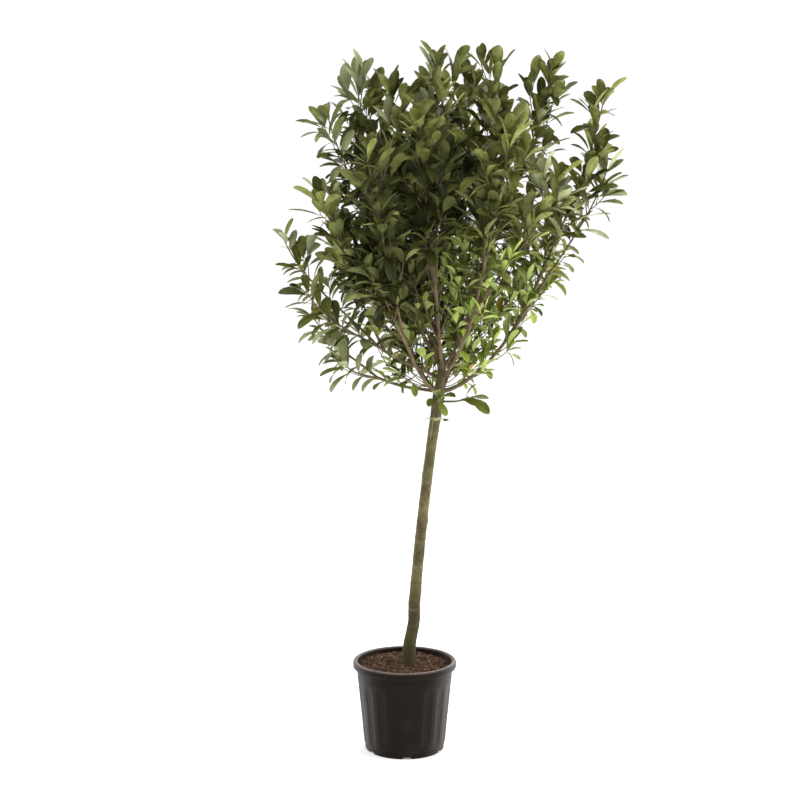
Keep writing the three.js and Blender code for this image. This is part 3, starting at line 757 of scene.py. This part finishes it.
# leafy branches: stem, twigs and spurs by the source's rule, with leaves of life size
spray = {
    "seed": 34, "leaveBough": (1, 0.84, 0.7), "stemFollow": 0.33, "stemLift": 0.7, "stemBend": 0.35,
    "stemRadius": 0.0041, "stemTip": 0.0017, "stemRings": 24, "stemSides": 8, "bareShare": 0.14,
    "stemBare": 0.2, "twigSpacing": 0.03, "twigLength": 0.1, "twigShares": (1.2, 0.66),
    "twigVary": (0.5, 1.3), "twigLast": 0.9, "twigAngle": 36, "twigRadius": 0.0019, "twigTip": 0.0012,
    "twigRings": 6, "twigSides": 6, "twigBare": 0.25, "twigLift": 0.4, "twigLeave": 0.35,
    "twigArrive": 0.3, "twigUpturn": 0.7,
    "spurSpacing": 0.06, "spurLength": 0.038, "spurRadius": 0.0013, "spurTip": 0.0009, "spurRings": 3,
    "spurSides": 5, "spurBare": 0.5, "spurStart": 0.3, "spurVary": 0.4, "spurTurn": 6,
    "tuftLeaves": 3, "spurLeaves": 2, "crownLeaves": 4, "tuftStep": 0.005,
    "reach": 0.165, "limbMargin": 0.003, "leafRoom": 0.013, "trunkSteps": 60, "steep": 0.9, "levelOut": 0.45,
}
# leafy shoots on the trunk: height, then the values of a branch
shoots = [("right", 0.842, (335, 0.1, -0.01, 0, 1)), ("front", 0.846, (268, 0.07, -0.015, 0, 1))]
# spurs on the boughs themselves, with what differs from bough to bough
boughSpurs = {"bare": 0.22, "spacing": 0.014, "length": (0.05, 0.15), "rings": 4, "leaves": 3}
ownSpurs = {
    "left_low": {"bare": 0.1, "spacing": 0.05}, "left_mid": {"spacing": 0.05},
    "centre_front": {"spacing": 0.024},
    "right": {"bare": 0.06, "spacing": 0.024, "length": (0.035, 0.09)},
    "right_inner": {"bare": 0.08, "spacing": 0.013}, "front_left": {"spacing": 0.034},
    "front_right": {"spacing": 0.03}, "back_left": {"bare": 0.1, "spacing": 0.009},
    "back_right": {"bare": 0.1, "spacing": 0.01},
}
leaf = {
    "length": 0.093, "angleVary": (0.78, 1.2), "sizeVary": (0.68, 1.1), "ageArch": 0.5, "fold": (0.1, 0.4),
    "faceAlong": 0.4, "faceUp": 0.9, "middle": 0.52, "tipBend": 0.6, "thickness": 0.0006,
    "archPower": 1.5, "footLift": 0.12, "foldPower": 1.4, "wave": 0.05, "ripple": (9, 6.3, 2),
    "amberShare": 0.03, "otherShare": 0.25, "veinDepth": 0.0006,
    "face": {"roughness": None, "ribLift": 34, "ribAmount": 0.55},
    "back": {"roughness": 0.62, "ribLift": 20, "ribAmount": 0.6},
    "rows": (0, 0.09, 0.26, 0.46, 0.66, 0.84, 0.95, 1),
    "halves": (0.04, 0.06, 0.48, 0.84, 1, 0.82, 0.46, 0.06),
    "columns": (-1, -0.5, 0, 0.5, 1),
}
# how leaves sit: all round an upright shoot, in two rows on a shoot that leans out, or hanging under the head
bushy = {"spacing": 0.024, "angles": (84, 28), "roll": 0.4, "twist": 0.5, "arch": (0.1, 0.5), "droop": 0.4,
         "lowest": -0.4, "fall": 0, "inRows": 0, "rowSpread": 0, "size": 1, "width": 0.4, "toFront": 0}
feathery = {**bushy, "spacing": 0.02, "angles": (72, 42), "twist": 0.25, "arch": (0.3, 0.7), "droop": 0.2,
            "lowest": -0.3, "inRows": 0.92, "rowSpread": 0.35, "size": 1.02, "width": 0.34, "toFront": 0.45}
spreading = {**bushy, "spacing": 0.022, "angles": (78, 40), "roll": 0.5, "twist": 0.3, "droop": 0.3,
             "inRows": 0.5, "rowSpread": 0.5, "size": 1.06, "width": 0.39, "toFront": 0.3}
hanging = {**bushy, "spacing": 0.03, "angles": (45, 22), "twist": 0.3, "arch": (0.3, 0.7),
           "lowest": -1, "size": 1.1}
drooping = {**bushy, "spacing": 0.04, "angles": (62, 42), "roll": 0.9, "twist": 0.3, "arch": (0.2, 0.5),
            "droop": 0.3, "lowest": -1, "fall": 0.4, "size": 1.1, "width": 0.44}
sprayHabits = {  # bushy where none is named
    "left_low_1": feathery, "left_low_2": feathery, "left_mid_1": feathery, "left_mid_3": feathery,
    "left_upper_2": feathery, "right_1": spreading, "right_2": spreading,
    "right_shoot": drooping, "front_shoot": hanging,
}
# leaves are thinner in front of the boughs, where these show
opening = {"east": (-0.14, 0.22), "rise": (0.04, 0.42), "front": -0.03, "share": 0.6}
limbs = []  # points, radii and sides of every twig
leaves = {}  # leaf poses by tint
taken = {}  # middles of the leaves so far, by cell
nearCells = [(x, y, z) for x in (-1, 0, 1) for y in (-1, 0, 1) for z in (-1, 0, 1)]


def limbPoints():
    shares = [step / spray["trunkSteps"] for step in range(spray["trunkSteps"] + 1)]
    rows = [(trunkPoint(share), trunkRadius(share)) for share in shares]
    for order, points in enumerate(boughLines):
        rows += [(point, boughRadius(order, ring / bough["rings"])) for ring, point in enumerate(points)]
    return np.array([point for point, _ in rows]), np.array([radius for _, radius in rows])


barePoints, bareRadii = limbPoints()
boxLow, boxHigh = (np.array(corner) for corner in cadBox)


def fits(spots, stem):
    spots = np.array(spots)
    if (spots < boxLow).any() or (spots > boxHigh).any():
        return False
    if np.linalg.norm(spots[:, None] - stem[None], axis=2).min(1).max() > spray["reach"]:
        return False
    clear = np.linalg.norm(spots[:, None] - barePoints[None], axis=2) - bareRadii
    return clear.min() > spray["limbMargin"]


def hasRoom(spot):
    cell = tuple(int(part // spray["leafRoom"]) for part in spot)
    for step in nearCells:
        for other in taken.get(tuple(a + b for a, b in zip(cell, step)), ()):
            if (other - spot).length < spray["leafRoom"]:
                return False
    taken.setdefault(cell, []).append(spot)
    return True


def leaning(tangent, turn, angle):
    guide = Vector((1, 0, 0)) if abs(tangent.z) > spray["steep"] else up
    side = Matrix.Rotation(turn, 3, tangent) @ tangent.cross(guide).normalized()
    level = 1 - abs(tangent.z)
    side.z *= mix(1, spray["levelOut"], level)  # leaves on a level shoot turn out to its two sides
    side = (side - tangent * side.dot(tangent)).normalized()
    return tangent * math.cos(angle) + side * math.sin(angle)


def turnedTint(tint, random):  # now and then a leaf differs from its twig
    if random() < leaf["amberShare"] and tint == "lime":
        return "amber"
    return nextTint[tint] if random() < leaf["otherShare"] else tint


def inOpening(place):
    east, depth, rise = place - head
    inside = opening["east"][0] < east < opening["east"][1] and opening["rise"][0] < rise < opening["rise"][1]
    return inside and depth < opening["front"]


def putLeaf(root, tangent, turn, young, tint, size, habit, stem, random):
    # old leaves low on a shoot spread wide and arch over, and young ones at its tip stand up
    angle = math.radians(mix(*habit["angles"], young)) * mix(*leaf["angleVary"], random())
    axis = leaning(tangent, turn, angle).normalized()
    axis.z = max(axis.z - habit["fall"], habit["lowest"])
    axis.normalize()
    face = tangent * leaf["faceAlong"] + up * leaf["faceUp"] + heading(frontAzimuth, 0) * habit["toFront"]
    face = (face - axis * face.dot(axis)).normalized()
    face = Matrix.Rotation(habit["roll"] * swing(random), 3, axis) @ face
    length = leaf["length"] * size * mix(*leaf["sizeVary"], random())
    arch = mix(*habit["arch"], random()) + leaf["ageArch"] * (1 - young)
    arch += habit["droop"] * (1 - abs(tangent.z))
    bend = arch * leaf["tipBend"]
    middle = root + axis * length * leaf["middle"]
    tip = root + (axis * math.cos(bend) - face * math.sin(bend)) * length
    shape = (arch, mix(*leaf["fold"], random()), habit["twist"] * swing(random), random(), habit["width"])
    if inOpening(middle) and random() < opening["share"]:
        return
    if fits([middle, tip], stem) and hasRoom(middle):
        leaves.setdefault(turnedTint(tint, random), []).append((root, axis, face, length, shape))


def along(points, share):
    place = share * (len(points) - 1)
    step = min(int(place), len(points) - 2)
    return points[step].lerp(points[step + 1], place - step), (points[step + 1] - points[step]).normalized()


def leafTurn(habit, first, step, random):
    if random() < habit["inRows"]:
        return math.pi * (step + 0.5) + habit["rowSpread"] * swing(random)
    return first + step * goldenAngle


def leafUp(points, bare, tuft, tint, habit, stem, random):
    length = lengthOf(points)
    size = leafSizes.get(tintZone(points[-1]), 1) * habit["size"]
    count = max(1, round(length * (1 - bare) / (habit["spacing"] * size)))
    first = fullTurn * random()
    for step in range(count):
        root, tangent = along(points, mix(bare, 1, step / count))
        turn = leafTurn(habit, first, step, random)
        putLeaf(root, tangent, turn, step / count, tint, size, habit, stem, random)
    for step in range(tuft):
        root, tangent = along(points, max(0, 1 - (step + 1) * spray["tuftStep"] / length))
        putLeaf(root, tangent, first + step * fullTurn / tuft, 1, tint, size, habit, stem, random)


def twigPoints(points, share, turn, length, rings):
    root, tangent = along(points, share)
    way = leaning(tangent, turn, math.radians(spray["twigAngle"]))
    tip = root + way * length + up * spray["twigLift"] * length
    leave = root + way * length * spray["twigLeave"]
    arrive = tip - (way + up * spray["twigUpturn"]) * length * spray["twigArrive"]
    return bezierLine(root, leave, arrive, tip, rings)


def addLimb(points, kind):
    count = len(points) - 1
    radius, tip = spray[f"{kind}Radius"], spray[f"{kind}Tip"]
    radii = [mix(radius, tip, ring / count) for ring in range(count + 1)]
    limbs.append((points, radii, spray[f"{kind}Sides"]))


# tints by where a twig grows: in the shaded heart, the rest of the crown, at the left and right,
# in the lit lower right and at the head
# painted shade and light: dark tints in the heart, lighter ones at the left and right, bright ones in the
# lower right
tintShares = {
    "heart": {"dark": 0.75, "deep": 0.25},
    "crown": {"dark": 0.1, "deep": 0.32, "olive": 0.5, "sage": 0.08},
    "top": {"deep": 0.22, "olive": 0.63, "sage": 0.15},
    "left": {"deep": 0.05, "olive": 0.6, "sage": 0.35},
    "right": {"deep": 0.15, "olive": 0.6, "sage": 0.25},
    "lowLeft": {"olive": 0.1, "sage": 0.84, "fresh": 0.06},
    "low": {"deep": 0.27, "olive": 0.43, "fresh": 0.3},
    "lowRight": {"olive": 0.1, "fresh": 0.42, "lime": 0.48},
    "head": {"olive": 0.5, "fresh": 0.5},
}
leafSizes = {"lowRight": 0.74, "low": 0.78, "head": 0.8}
nextTint = {"dark": "deep", "deep": "olive", "olive": "deep", "sage": "olive", "fresh": "olive",
            "lime": "fresh"}
far = math.inf
# bounds of each zone to the right of the head and above it: the first that fits counts
zones = [
    ("head", (-0.1, far), (-far, 0.03)), ("lowLeft", (-far, far), (-far, 0.03)),
    ("lowRight", (-0.04, far), (-far, 0.46)), ("low", (-0.2, far), (-far, 0.3)),
    ("lowLeft", (-far, far), (-far, 0.3)), ("heart", (-0.3, 0.12), (-far, 0.74)),
    ("right", (0.25, far), (-far, far)), ("left", (-far, -0.22), (-far, far)),
    ("top", (-far, far), (0.86, far)),
]


def tintZone(place):
    east, rise = place.x - head.x, place.z - head.z
    for zone, (west, limit), (low, high) in zones:
        if west < east < limit and low < rise < high:
            return zone
    return "crown"


def pickTint(root, random):
    draw = random()
    for tint, share in tintShares[tintZone(root)].items():
        draw -= share
        if draw < 0:
            return tint
    return "olive"


def growTwig(twig, tint, habit, stem, random):
    addLimb(twig, "twig")
    leafUp(twig, spray["twigBare"], spray["tuftLeaves"], tint, habit, stem, random)
    reach = lengthOf(twig)
    for step in range(int(reach / spray["spurSpacing"])):
        place = (step + spray["spurStart"] + spray["spurVary"] * random()) * spray["spurSpacing"] / reach
        turn = step * goldenAngle + spray["spurTurn"] * random()
        spur = twigPoints(twig, place, turn, spray["spurLength"], spray["spurRings"])
        if fits(spur[1:], stem):
            addLimb(spur, "spur")
            leafUp(spur, spray["spurBare"], spray["spurLeaves"], tint, habit, stem, random)


def growSpray(points, fullness, stretch, habit, order):
    random = seeded(spray["seed"] + order)
    stem = np.array(points)
    addLimb(points, "stem")
    leafUp(points, spray["stemBare"], spray["crownLeaves"], pickTint(points[-1], random), habit, stem, random)
    count = round(fullness * lengthOf(points) * (1 - spray["bareShare"]) / spray["twigSpacing"])
    for step in range(count):
        share = mix(spray["bareShare"], spray["twigLast"], (step + random()) / count)
        reach = spray["twigLength"] * mix(*spray["twigShares"], share) * mix(*spray["twigVary"], random())
        reach *= stretch
        twig = twigPoints(points, share, step * goldenAngle + random(), reach, spray["twigRings"])
        if fits(twig[2:], stem):
            growTwig(twig, pickTint(twig[-1], random), habit, stem, random)


def growSpurs(order):  # short leafy spurs on the boughs themselves
    random = seeded(spray["seed"] + len(stems) + order)
    points = boughLines[order]
    stem = np.array(points)
    spurs = {**boughSpurs, **ownSpurs.get(boughs[order][0], {})}
    bare = spurs["bare"]
    count = round(lengthOf(points) * (1 - bare) / spurs["spacing"])
    for step in range(count):
        share = mix(bare, 1, (step + random()) / count)
        reach = mix(*spurs["length"], random())
        spur = twigPoints(points, share, step * goldenAngle + random(), reach, spurs["rings"])
        if fits(spur[2:], stem):
            addLimb(spur, "twig")
            leafUp(spur, spray["spurBare"], spurs["leaves"], pickTint(spur[-1], random), bushy, stem, random)


def stemPoints(start, way, tip):
    bend = spray["stemBend"] * (tip - start).length
    chord = (tip - start).normalized()
    leave = start + (chord + way * spray["stemFollow"]).normalized() * bend
    arrive = tip - (chord + up * spray["stemLift"]).normalized() * bend
    return bezierLine(start, leave, arrive, tip, spray["stemRings"])


stems = []
for order, (name, *_, branches) in enumerate(boughs):
    for branchOrder, (*branch, fullness, stretch) in enumerate(branches):
        start, way = along(boughLines[order], spray["leaveBough"][branchOrder])
        points = stemPoints(start, way, aroundHead(*branch))
        stems.append((f"{name}_{branchOrder + 1}", points, fullness, stretch))
for name, height, (*branch, fullness, stretch) in shoots:
    start = trunkPoint(height / trunk["height"])
    points = stemPoints(start, heading(branch[0], 0), aroundHead(*branch))
    stems.append((f"{name}_shoot", points, fullness, stretch))
for order, (name, points, fullness, stretch) in enumerate(stems):
    growSpray(points, fullness, stretch, sprayHabits.get(name, bushy), order)
for order in range(len(boughs)):
    growSpurs(order)
masses = [f"foliage_{stem[0]}" for stem in stems]
print("sprays grown:", len(limbs), "twigs,", {tint: len(rows) for tint, rows in leaves.items()})


def makeTwigs():
    verts, faces, count = [], [], 0
    for points, radii, sides in limbs:
        for (side, level), point, radius in zip(frames(points), points, radii):
            for corner in range(sides):
                turn = fullTurn * corner / sides
                verts.append(point + (side * math.cos(turn) + level * math.sin(turn)) * radius)
        for ring in range(len(points) - 1):
            for corner in range(sides):
                a = count + ring * sides + corner
                b = count + ring * sides + (corner + 1) % sides
                faces.append((a, b, b + sides, a + sides))
        faces.append(tuple(count + corner for corner in reversed(range(sides))))
        count += sides * len(points)
        faces.append(tuple(count - sides + corner for corner in range(sides)))
    mesh = bpy.data.meshes.new("twigBark")
    mesh.from_pydata([tuple(vert) for vert in verts], [], faces)
    mesh.shade_smooth()
    return mesh


twigBark = barkMaterial("twigBark", 0.0005,
                        Dark=colour(88, 72, 52), Main=colour(126, 106, 82), Pale=colour(164, 144, 116),
                        Green=colour(98, 100, 56), Scale=2.2, GreenAmount=0.5, PaleAmount=0.35)
addPiece("twig_bark", makeTwigs(), [twigBark], "leaves", *masses)


def bladeFaces():
    # upper and under skin share their rim
    rows, columns = len(leaf["rows"]), len(leaf["columns"])
    upper = np.arange(rows * columns).reshape(rows, columns)
    under = upper.copy()
    inner = (rows - 2) * (columns - 2)
    under[1:-1, 1:-1] = rows * columns + np.arange(inner).reshape(rows - 2, columns - 2)
    quads = []
    for grid, order in ((upper, 1), (under, -1)):
        for row in range(rows - 1):
            for column in range(columns - 1):
                first, second = grid[row, column:column + 2], grid[row + 1, column:column + 2]
                quads.append([first[0], first[1], second[1], second[0]][::order])
    return np.array(quads), rows * columns + inner


def rotated(first, second, turns):
    return first * np.cos(turns) - second * np.sin(turns), second * np.cos(turns) + first * np.sin(turns)


def makeLeaves(name, poses):
    rows, columns = np.array(leaf["rows"]), np.array(leaf["columns"])
    roots, axes, faces = (np.array([[*pose[part]] for pose in poses]) for part in range(3))
    lengths = np.array([pose[3] for pose in poses])
    arch, fold, twist, phase, width = np.array([pose[4] for pose in poses]).T
    count = len(poses)
    sides = np.cross(axes, faces)
    bends = arch[:, None] * rows ** leaf["archPower"] - leaf["footLift"]
    steps = np.diff(rows, prepend=0)
    ways, normals = rotated(axes[:, None], faces[:, None], bends[..., None])
    spine = roots[:, None] + np.cumsum(ways * steps[None, :, None], axis=1) * lengths[:, None, None]
    turns = (twist[:, None] * rows)[..., None]
    over, across = rotated(normals, sides[:, None], turns)
    halves = (lengths * width / 2)[:, None] * np.array(leaf["halves"])
    spread = columns[None, None] * halves[..., None] * np.cos(fold)[:, None, None]
    rise = np.abs(columns) ** leaf["foldPower"] * halves[..., None] * np.sin(fold)[:, None, None]
    lengthwise, start, sideways = leaf["ripple"]
    ripple = np.sin(lengthwise * rows[None, :, None] + start * phase[:, None, None] + sideways * columns)
    rise = rise + leaf["wave"] * (ripple * np.abs(columns)) * halves[..., None]
    upper = spine[:, :, None] + across[:, :, None] * spread[..., None] + over[:, :, None] * rise[..., None]
    under = (upper - over[:, :, None] * leaf["thickness"])[:, 1:-1, 1:-1]
    verts = np.concatenate([upper.reshape(count, -1, 3), under.reshape(count, -1, 3)], axis=1)
    quads, size = bladeFaces()
    allQuads = (quads[None] + size * np.arange(count)[:, None, None]).reshape(-1, 4)
    mesh = bpy.data.meshes.new(name)
    mesh.from_pydata(verts.reshape(-1, 3).tolist(), [], allQuads.tolist())
    # the leaf's own map: across in u and along in v
    flat = np.stack(np.meshgrid((columns + 1) / 2, rows), axis=2)
    chart = np.concatenate([flat.reshape(-1, 2), flat[1:-1, 1:-1].reshape(-1, 2)])
    blade = mesh.uv_layers.new(name="blade")
    blade.data.foreach_set("uv", np.tile(chart[quads.ravel()], (count, 1)).ravel())
    skins = np.zeros(len(quads), dtype=np.int32)
    skins[len(quads) // 2:] = 1
    mesh.polygons.foreach_set("material_index", np.tile(skins, count))
    mesh.shade_smooth()
    # the rim is a crisp edge
    edges = np.empty(2 * len(mesh.edges), dtype=np.int32)
    mesh.edges.foreach_get("vertices", edges)
    ends = edges.reshape(-1, 2) % size
    grid = np.arange(len(rows) * len(columns)).reshape(len(rows), len(columns))
    rim = np.zeros(size, dtype=bool)
    rim[np.concatenate([grid[0], grid[-1], grid[:, 0], grid[:, -1]])] = True
    crisp = mesh.attributes.new("sharp_edge", "BOOLEAN", "EDGE")
    crisp.data.foreach_set("value", rim[ends].all(axis=1))
    mesh.update()
    return mesh


tints = {  # upper skin, its darker mottle and under skin
    "dark": ((58, 62, 24), (44, 48, 18), (86, 90, 48)),
    "deep": ((78, 82, 32), (62, 66, 25), (112, 116, 66)),
    "olive": ((110, 114, 46), (88, 92, 36), (144, 148, 88)),
    "sage": ((148, 152, 106), (127, 131, 90), (170, 174, 134)),
    "fresh": ((130, 147, 64), (106, 124, 50), (156, 167, 100)),
    "lime": ((160, 178, 78), (134, 156, 60), (180, 192, 114)),
    "amber": ((196, 172, 78), (178, 146, 62), (200, 178, 108)),
}
for tint, poses in leaves.items():
    upper, shade, under = tints[tint]
    skins = [bladeMaterial(f"{tint}Leaf", leaf["face"], upper, shade),
             bladeMaterial(f"{tint}LeafBack", leaf["back"], under, upper)]
    addPiece(f"leaves_{tint}", makeLeaves(f"leaves_{tint}", poses), skins, "leaves", *masses)
print("leaves set")


# twine round the trunk, knotted at the front with two loose ends, one of them frayed to a clump
tie = {
    "height": 0.79, "radius": 0.0014, "clear": 0.0006, "wraps": 1.3, "start": -1.9, "pitch": 0.006,
    "steps": 90, "sides": 8, "knot": 0.003, "knotAzimuth": 272, "knotOut": 0.001, "knotShape": (1.3, 0.8, 1),
    "tails": [((200, -8), 0.02), ((345, -16), 0.015)], "tailSteps": 16, "tailTaper": 0.35, "tailOut": 0.008,
    "tailRise": 0.004, "tailLeave": 0.5, "tailArrive": 0.3,
    "clump": 0.0046, "clumpShape": (1.9, 1, 1), "clumpRough": 0.5, "clumpScale": 420,
}


def addLump(bm, radius, shape):
    lump = bmesh.ops.create_icosphere(bm, subdivisions=2, radius=radius)["verts"]
    bmesh.ops.scale(bm, vec=shape, verts=lump)
    return lump


def makeTie():
    bm = bmesh.new()
    middle = trunkPoint(tie["height"] / trunk["height"])
    radius = trunkRadius(tie["height"] / trunk["height"]) + tie["radius"] + tie["clear"]
    forward = heading(tie["knotAzimuth"], 0)
    coil = []
    for step in range(tie["steps"] + 1):
        turn = fullTurn * tie["wraps"] * step / tie["steps"] + tie["start"]
        rise = tie["pitch"] * (tie["wraps"] * step / tie["steps"] - tie["wraps"] / 2)
        coil.append(middle + Vector((radius * math.cos(turn), radius * math.sin(turn), rise)))
    rollTube(bm, coil, list(frames(coil)), tie["sides"], lambda share, turn: tie["radius"])
    front = middle + forward * (radius + tie["knotOut"])
    bmesh.ops.translate(bm, vec=front, verts=addLump(bm, tie["knot"], tie["knotShape"]))
    for (azimuth, elevation), length in tie["tails"]:
        way = heading(azimuth, elevation)
        start = middle + heading(azimuth, 0) * radius
        tip = start + way * length
        leave = front + (start - front) * tie["tailLeave"] + forward * tie["tailOut"]
        arrive = start + way * length * tie["tailArrive"] + up * tie["tailRise"]
        curve = bezierLine(front, leave, arrive, tip, tie["tailSteps"])
        rollTube(bm, curve, list(frames(curve)), tie["sides"],
                 lambda share, turn: tie["radius"] * (1 - tie["tailTaper"] * share))
    clump = addLump(bm, tie["clump"], tie["clumpShape"])
    for vert in clump:
        vert.co += vert.co * tie["clumpRough"] * noise.noise(vert.co * tie["clumpScale"])
    bmesh.ops.translate(bm, vec=tip, verts=clump)
    for face in {face for vert in clump for face in vert.link_faces}:
        face.material_index = 1
    bmesh.ops.recalc_face_normals(bm, faces=bm.faces)
    return meshFrom(bm, "twine")


def twineMaterial(name, first, second):
    material, tree, shader = newMaterial(name, Roughness=0.85, Specular_IOR_Level=0.2)
    fibre = noiseNode(tree, placeNode(tree), 700, 3, 0.6)
    dress(tree, shader, mixNode(tree, fibre, first, second), bumpNode(tree, fibre, 0.0006))
    return material


twineLooks = [twineMaterial("paleTwine", colour(146, 140, 104), colour(206, 202, 168)),
              twineMaterial("wornTwine", colour(78, 78, 54), colour(120, 120, 92))]
addPiece("trunk_twine", makeTie(), twineLooks, "twine", "trunk_tie")
print("twine tied")


# studio: pale floor and a soft white surround that is brightest behind and beside the plant
studio = {
    "floorSize": 60, "floor": colour(252, 252, 252), "floorGlow": 0.2, "white": 1.05,
    "front": 0.37, "back": 1.15,
    "lights": [("keyLight", (3.6, -0.9, 2.0), 2.4, 130), ("fillLight", (-3.6, -0.5, 2.6), 3.0, 80),
               ("backLight", (1.4, 3.0, 3.4), 2.4, 80)],
    "aim": (0.1, 0, 1.3),
}
floorMesh = bmesh.new()
bmesh.ops.create_grid(floorMesh, x_segments=1, y_segments=1, size=studio["floorSize"] / 2)
floor = bpy.data.objects.new("studio_floor", meshFrom(floorMesh, "studioFloor"))
scene.collection.objects.link(floor)
floorMaterial, _, _ = newMaterial("paleFloor", Roughness=0.9, Specular_IOR_Level=0.1,
                                  Base_Color=studio["floor"], Emission_Color=(1, 1, 1, 1),
                                  Emission_Strength=studio["floorGlow"])
floor.data.materials.append(floorMaterial)

world = bpy.data.worlds.new("softSurround")
world.use_nodes = True
sky = world.node_tree
depth = partNode(sky, placeNode(sky, "Generated"), "Y")
glow = rangeNode(sky, depth, -1, 0.3, studio["front"], studio["back"])
seen = addNode(sky, "LightPath", "Is Camera Ray", {})
backdrop = sky.nodes["Background"].inputs
backdrop["Color"].default_value = (1, 1, 1, 1)
feed(sky, addNode(sky, "Mix", 0, {0: seen, 2: glow, 3: studio["white"]}), backdrop["Strength"])
scene.world = world
for name, place, size, power in studio["lights"]:
    lamp = bpy.data.lights.new(name, "AREA")
    lamp.shape = "DISK"
    lamp.size = size
    lamp.energy = power
    light = bpy.data.objects.new(name, lamp)
    light.location = place
    light.rotation_euler = (Vector(studio["aim"]) - Vector(place)).to_track_quat("-Z", "Y").to_euler()
    scene.collection.objects.link(light)
scene.view_settings.view_transform = "Standard"

# camera at the photograph's angle
camera = {"place": (-0.0149, -4.387, 1.538), "pitch": 5.44, "lens": 63, "sensor": 36}
lens = bpy.data.cameras.new("frontCamera")
lens.lens = camera["lens"]
lens.sensor_width = camera["sensor"]
viewer = bpy.data.objects.new("frontCamera", lens)
viewer.location = camera["place"]
viewer.rotation_euler = (math.radians(90 - camera["pitch"]), 0, 0)
scene.collection.objects.link(viewer)
scene.camera = viewer
print("studio lit")
